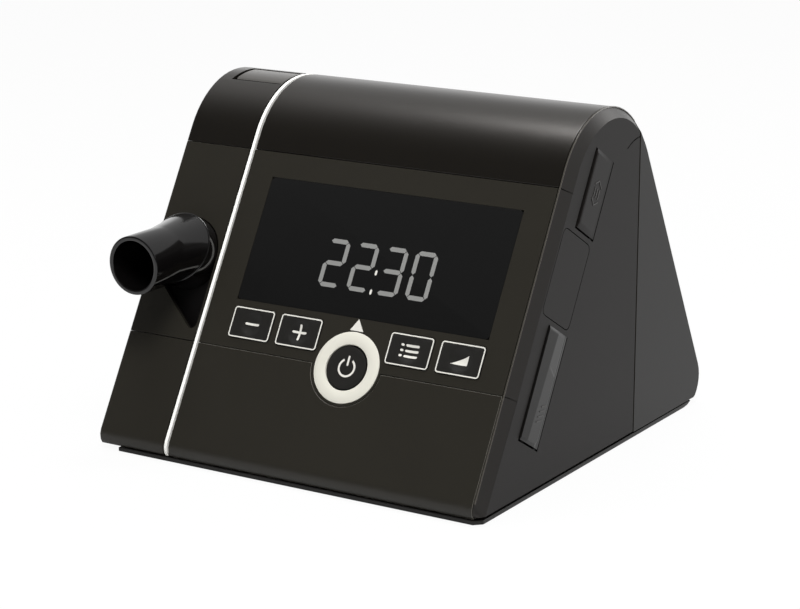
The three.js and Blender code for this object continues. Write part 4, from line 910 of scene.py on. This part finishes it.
def segment(x0, y0, x1, y1):
    """A bar with pointed ends, between two corners of a digit."""
    length = math.hypot(x1 - x0, y1 - y0)
    dx, dy = (x1 - x0) / length, (y1 - y0) / length
    half = SEGMENT_WIDTH / 2
    shape = [
        (SEGMENT_GAP, 0),
        (half + SEGMENT_GAP, -half),
        (length - half - SEGMENT_GAP, -half),
        (length - SEGMENT_GAP, 0),
        (length - half - SEGMENT_GAP, half),
        (half + SEGMENT_GAP, half),
    ]
    return [(x0 + dx * a - dy * b, y0 + dy * a + dx * b) for a, b in shape]


def digit_segments(left, low, lit):
    inset = SEGMENT_WIDTH / 2
    x0, x1 = left + inset, left + DIGIT_WIDTH - inset
    y0, y2 = low + inset, low + DIGIT_HEIGHT - inset
    y1 = (y0 + y2) / 2
    ends = {
        "a": (x0, y2, x1, y2),
        "b": (x1, y1, x1, y2),
        "c": (x1, y0, x1, y1),
        "d": (x0, y0, x1, y0),
        "e": (x0, y0, x0, y1),
        "f": (x0, y1, x0, y2),
        "g": (x0, y1, x1, y1),
    }
    return [segment(*ends[letter]) for letter in lit]


def make_window():
    """The window's own corners are round, and it nearly closes its gap to the frame."""
    low, high = slope_box("display_window")
    cut = WINDOW_EDGE * EDGE_CUT_SHARE
    profile = [
        (WINDOW_GROW, low.z),
        (WINDOW_GROW, high.z - WINDOW_EDGE),
        (WINDOW_GROW - cut, high.z - cut),
        (WINDOW_GROW - WINDOW_EDGE, high.z),
    ]
    rings = []
    for grow, level in profile:
        points = rounded_rectangle(
            low.x - grow, low.y - grow, high.x + grow, high.y + grow, WINDOW_CORNER + grow
        )
        rings.append(placed(points, SLOPE, level))
    mesh = skin("window_pane", rings)
    piece = link("window_pane", mesh, "main", MATERIALS["window"])
    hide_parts("display_window")
    shade_smooth(piece)


def make_display():
    corner = slope_box("display_window")[0]
    left, low = corner.x + DIGIT_LEFT, corner.y + DIGIT_LOW
    outlines = []
    for i, lit in enumerate(DIGITS):
        outlines += digit_segments(left + i * DIGIT_PITCH, low, lit)
    printed("clock_digits", outlines, flat, SLOPE, "main", LCD_GREY, UNCUT, INK / 2)
    x = left + len(DIGITS) / 2 * DIGIT_PITCH + COLON_SHIFT
    dots = [bar(x, low + y, x, low + y + COLON_HEIGHT, COLON_STROKE) for y in COLON_LEVELS]
    printed("clock_colon", dots, flat, SLOPE, "main", INK_WHITE, UNCUT, INK / 2)


# Copies of nodes with a flat face moved, where the real seam is wider than the construction's gap
BUTTON_RIM = 1.7 * MM
BUTTON_PULL = (1.1 * MM, 1.3 * MM)
BUTTON_WALL_SHADE_LEAN = 0.6
BUTTON_EDGE = 0.15 * MM
BAND_PULL = (0.3 * MM, -0.55 * MM)
REAR_PULL = 0.6 * MM
GROOVE_PULL = 0.9 * MM
REAR_GROOVE_PULL = 0.5 * MM
PULL_TOLERANCE = 0.1 * MM
RIM_NORMAL = 0.95
RIM_SHADE_LEAN = -0.05
REAR_SHADE_LEAN = 0.1
RIM_NEAR = 0.4 * MM
SHELL_GAP = 0.3 * MM
CREST_ROUND = 0.32 * MM
CREST_SUNK = 0.14 * MM
CREST_FOOT = 6 * MM
CREST_STEPS = 10
X_AXIS, Y_AXIS, Z_AXIS = range(3)


def pulled(node, name, body, material, pulls, edge=EDGE_ROUND):
    """A copy of a node's mesh. Each pull moves the points between two levels of one axis."""
    mesh = nodes[node].data.copy()
    for axis, start, end, move in pulls:
        for vertex in mesh.vertices:
            if start - PULL_TOLERANCE < vertex.co[axis] < end + PULL_TOLERANCE:
                vertex.co[axis] += move
    mesh.materials.clear()
    piece = link(name, mesh, body, material)
    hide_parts(node)
    soften(piece, edge)
    return piece


def make_button():
    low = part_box("release_button")[0]
    pulls = [
        (X_AXIS, low[0], low[0] + BUTTON_RIM, BUTTON_PULL[0]),
        (Y_AXIS, low[1], low[1] + BUTTON_RIM, BUTTON_PULL[1]),
    ]
    name = "release_button"
    # The pad's top is painted in the lighter copy: a painted highlight.
    pad = pulled(name, "release_button_pad", name, BUTTON_HIGHLIGHT, pulls, BUTTON_EDGE)
    # The pad's steep side walls are painted near-black: a painted shade in the gap round the button.
    paint_faces(pad, OWN_MATERIALS["recess_liner"], lambda face: face.normal.z < BUTTON_WALL_SHADE_LEAN)


def make_band():
    low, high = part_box("trim_strip")
    pulls = [
        (X_AXIS, low[0], low[0], BAND_PULL[0]),
        (X_AXIS, high[0], high[0], BAND_PULL[1]),
    ]
    white = MATERIALS["trim_white"]
    pulled("trim_strip", "trim_band", "main", white, pulls, BAND_EDGE)


def make_shells():
    """The rear shell and the side shell, with a wider seam between them and over the base."""
    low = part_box("rear_housing")[0]
    pulls = [(Y_AXIS, low[1], low[1], REAR_PULL), (Z_AXIS, low[2], low[2], REAR_GROOVE_PULL)]
    plain = MATERIALS["casing"]
    rear = pulled("rear_housing", "rear_shell", "main", plain, pulls, REAR_EDGE)
    # The rear shell's rim faces and rounded edges are painted near-black: painted shade along the rear chamfer.
    paint_faces(rear, REAR_RIM_SHADE, lambda face: REAR_SHADE_LEAN < face.normal.x < RIM_NORMAL)
    paint_edges(rear, REAR_RIM_SHADE)
    # Its right-facing faces are painted darker: painted shade.
    paint_faces(rear, REAR_SIDE_SHADE, lambda face: face.normal.x > RIM_NORMAL)
    low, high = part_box("right_side_panel")
    pulls = [(Z_AXIS, low[2], low[2], GROOVE_PULL)]
    plain = MATERIALS["side_casing"]
    side = pulled("right_side_panel", "side_shell", "main", plain, pulls, SIDE_EDGE)

    def on_rim(face):
        return RIM_SHADE_LEAN < face.normal.x < RIM_NORMAL and face.center.x < high[0] - RIM_NEAR

    # The chamfer and rim faces are painted in the darker, glossier copy: painted shade.
    paint_faces(side, RIM_SHADE, on_rim)


def outer_line(points):
    """The convex outline of points in a plane, anticlockwise."""
    points = sorted(set(points))
    halves = []
    for run in (points, points[::-1]):
        half = []
        for x, y in run:
            while len(half) > 1:
                (x0, y0), (x1, y1) = half[-2:]
                if (x1 - x0) * (y - y0) - (y1 - y0) * (x - x0) > 0:
                    break
                half.pop()
            half.append((x, y))
        halves.append(half[:-1])
    return halves[0] + halves[1]


def make_crest_highlight():
    """A light glossy bead along the round crest of the side panel's rim: a painted highlight line."""
    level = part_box("top_cover")[1][0] + SHELL_GAP
    vertices = nodes["right_side_panel"].data.vertices
    rim = [(v.co.y, v.co.z) for v in vertices if abs(v.co.x - level) < PULL_TOLERANCE]
    line = [Vector(point) for point in outer_line(rim)]
    upper = [i for i, point in enumerate(line) if point.y > CREST_FOOT]
    start = next(i for i in upper if i - 1 not in upper and line[i - 1].y <= CREST_FOOT)
    line = (line[start:] + line[:start])[:len(upper)]
    rings = []
    for i, point in enumerate(line):
        along = line[min(i + 1, len(line) - 1)] - line[max(i - 1, 0)]
        out = Vector((along.y, -along.x)).normalized()
        middle = point - out * CREST_SUNK
        ring = []
        for x, away in circle(CREST_ROUND, CREST_STEPS):
            ring.append((level + CREST_ROUND + x, middle.x + out.x * away, middle.y + out.y * away))
        rings.append(ring)
    mesh = skin("side_crest_highlight", rings)
    piece = link("side_crest_highlight", mesh, "main", CREST_HIGHLIGHT)
    shade_smooth(piece)


# Side doors: ridged flaps with a round hinge edge. Near the hinge they are low, so that they can open
DOOR_PROUD = 1.2 * MM
DOOR_BARREL = 1.3 * MM
DOOR_PLATE = 0.1 * MM
DOOR_ROWS = 120
DOOR_COLUMNS = 60
BARREL_STEPS = 8
UPPER_FRONT_GAP = 0.9 * MM
LOWER_FRONT_GAP = 0.4 * MM
UPPER_PROUD = 0.7 * MM
DOOR_END_GAP = 0.4 * MM
DOOR_GROW = 0.2 * MM
DOOR_SWEEP = 1.55 * MM
FRONT_SHARE = 0.5
UPPER_FALL = (1.0 * MM, 13.6 * MM)
UPPER_ENDS = (2.2 * MM, 1.5 * MM)
UPPER_END_SHARE = 0.2
UPPER_EDGE = 0.5 * MM
UPPER_EDGE_SHARE = 0.75
LOWER_ENDS = (1.1 * MM, 1.2 * MM)
LOWER_END_SHARE = 0.25
LOWER_RIDGE_SHARES = (0.28, 0.42)
LOWER_STEP_SHARE = 0.68
LOWER_STEP_SLANT = 0.35
LOWER_STEP_LENGTH = 0.7 * MM
LOWER_CORNER = 2.6 * MM
DIAGONAL_SHARE = math.sqrt(0.5)
LOWER_REAR_SHARE = 0.52
LOWER_TAIL = (1.9 * MM, 3.2 * MM)
LOWER_TAIL_SHARE = 0.2
MARK_PROUD = 0.16 * MM
MARK_STROKE = 0.5 * MM
MARK_PITCH = 0.8 * MM
BAR_LENGTH = 3.4 * MM
BAR_PITCH = 2.0 * MM
BAR_LEAN = 0.35 * MM
BAR_COUNT = 4
BAR_RISE = 0.7 * BAR_PITCH
CHEVRON_REACH = 1.5 * BAR_PITCH
UPPER_MARK_SHARES = (0.5, 0.46)
LOWER_MARK_SHARES = (0.48, 0.2)


def between(value, start, end):
    return min(max((value - start) / (end - start), 0.0), 1.0)


def upper_relief(inward, up, length, width):
    """Height over the side: highest at the front edge, flush at the hinge."""
    level = 1 - between(inward, *UPPER_FALL)
    end = min(between(up, 0, UPPER_ENDS[0]), between(length - up, 0, UPPER_ENDS[1]))
    end = UPPER_END_SHARE + (1 - UPPER_END_SHARE) * end
    edge = UPPER_EDGE_SHARE + (1 - UPPER_EDGE_SHARE) * between(inward, 0, UPPER_EDGE)
    return DOOR_PLATE + (UPPER_PROUD - DOOR_PLATE) * level * edge * end


def lower_relief(inward, up, length, width):
    """A ridge along the door. Above a slanted step the facet behind it falls right to the side."""
    low_share, high_share = LOWER_RIDGE_SHARES
    ridge = width * (low_share + (high_share - low_share) * up / length)
    if inward < ridge:
        level = FRONT_SHARE + (1 - FRONT_SHARE) * between(inward, 0, ridge)
    else:
        fall = between(inward, ridge, width)
        step = length * LOWER_STEP_SHARE - LOWER_STEP_SLANT * (inward - ridge)
        above = between(up, step, step + LOWER_STEP_LENGTH)
        level = 1 - fall * (LOWER_REAR_SHARE + (1 - LOWER_REAR_SHARE) * above)
    corner = (up + (width - inward)) * DIAGONAL_SHARE - LOWER_CORNER
    end = min(between(up, 0, LOWER_ENDS[0]), between(length - up, 0, LOWER_ENDS[1]))
    end = min(end, between(corner, 0, LOWER_ENDS[0]))
    tail = between(width - inward, *LOWER_TAIL)
    level = min(level, (1 - LOWER_REAR_SHARE) * (1 - tail) * LOWER_TAIL_SHARE + tail)
    end = LOWER_END_SHARE + (1 - LOWER_END_SHARE) * end
    return DOOR_PLATE + (DOOR_PROUD - DOOR_PLATE) * level * end


def make_door(name, relief, marks, front_gap, material):
    low, high = slope_box(name)
    face_x = high.x - DOOR_PROUD
    inner_x = low.x
    near, far = -high.z + front_gap, -low.z
    bottom, top = low.y + DOOR_END_GAP, high.y + DOOR_GROW
    axis_in = far - DOOR_BARREL
    axis_x = inner_x + DOOR_BARREL
    turn = math.asin(DOOR_BARREL / DOOR_SWEEP)
    length = top - bottom
    width = axis_in + DOOR_SWEEP * math.cos(turn) - near
    rings = []
    for row in range(DOOR_ROWS + 1):
        up = length * row / DOOR_ROWS
        ring = [(near, inner_x)]
        for i in range(BARREL_STEPS + 1):
            angle = turn * (2 * i / BARREL_STEPS - 1)
            inward = axis_in + DOOR_SWEEP * math.cos(angle)
            ring.append((inward, axis_x + DOOR_SWEEP * math.sin(angle)))
        for i in range(1, DOOR_COLUMNS + 1):
            inward = width * (1 - i / DOOR_COLUMNS)
            ring.append((near + inward, face_x + relief(inward, up, length, width)))
        rings.append([slope_point(x, bottom + up, -inward) for inward, x in ring])
    mesh = skin(f"{name}_flap", rings)
    piece = link(f"{name}_flap", mesh, name, material)
    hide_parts(name)
    shade_smooth(piece)
    corner = slope_point(face_x, bottom, -near)
    inward = SLOPE.to_3x3() @ Vector((0, 0, -1))
    upward = SLOPE.to_3x3() @ Vector((0, 1, 0))
    matrix = Matrix((inward, upward, (1, 0, 0))).transposed().to_4x4()
    matrix.translation = corner

    def surface(x, y):
        return relief(x, y, length, width)

    mark = f"{name}_mark"
    outlines = marks(length, width)
    printed(mark, outlines, surface, matrix, name, MARK_SATIN, MARK_PITCH, MARK_PROUD)


def upper_marks(length, width):
    """Three bars between two chevrons."""
    middle, low = width * UPPER_MARK_SHARES[0], length * UPPER_MARK_SHARES[1]
    outlines = [
        chevron(middle, low + BAR_LENGTH + BAR_PITCH / 2, BAR_PITCH),
        chevron(middle, low - BAR_PITCH / 2, -BAR_PITCH),
    ]
    for i in (-1, 0, 1):
        x = middle + i * BAR_PITCH
        outlines.append(bar(x, low, x, low + BAR_LENGTH, MARK_STROKE))
    return outlines


def lower_marks(length, width):
    """Bars in a slanting row, for a fingertip."""
    left, low = width * LOWER_MARK_SHARES[0], length * LOWER_MARK_SHARES[1]
    outlines = []
    for i in range(BAR_COUNT):
        x, y = left + i * BAR_LEAN, low + i * BAR_PITCH
        outlines.append(bar(x, y, x + BAR_LENGTH, y + BAR_RISE, MARK_STROKE))
    return outlines


def chevron(x, y, rise):
    half = MARK_STROKE / 2
    return [
        (x - CHEVRON_REACH, y - half),
        (x, y + rise - half),
        (x + CHEVRON_REACH, y - half),
        (x + CHEVRON_REACH, y + half),
        (x, y + rise + half),
        (x - CHEVRON_REACH, y + half),
    ]


dress_nodes()
make_camera()
make_floor()
make_world()
make_lights()
make_elbow()
for key in ("key_minus", "key_plus", "key_menu", "key_ramp"):
    make_key(key)
make_ring()
make_power_key()
make_pointer()
make_window()
make_display()
make_button()
make_band()
make_shells()
make_crest_highlight()
make_door("upper_door", upper_relief, upper_marks, UPPER_FRONT_GAP, MATERIALS["side_casing"])
# The lower door is painted in the darker copy: painted shade.
make_door("lower_door", lower_relief, lower_marks, LOWER_FRONT_GAP, FLAP_SHADE)
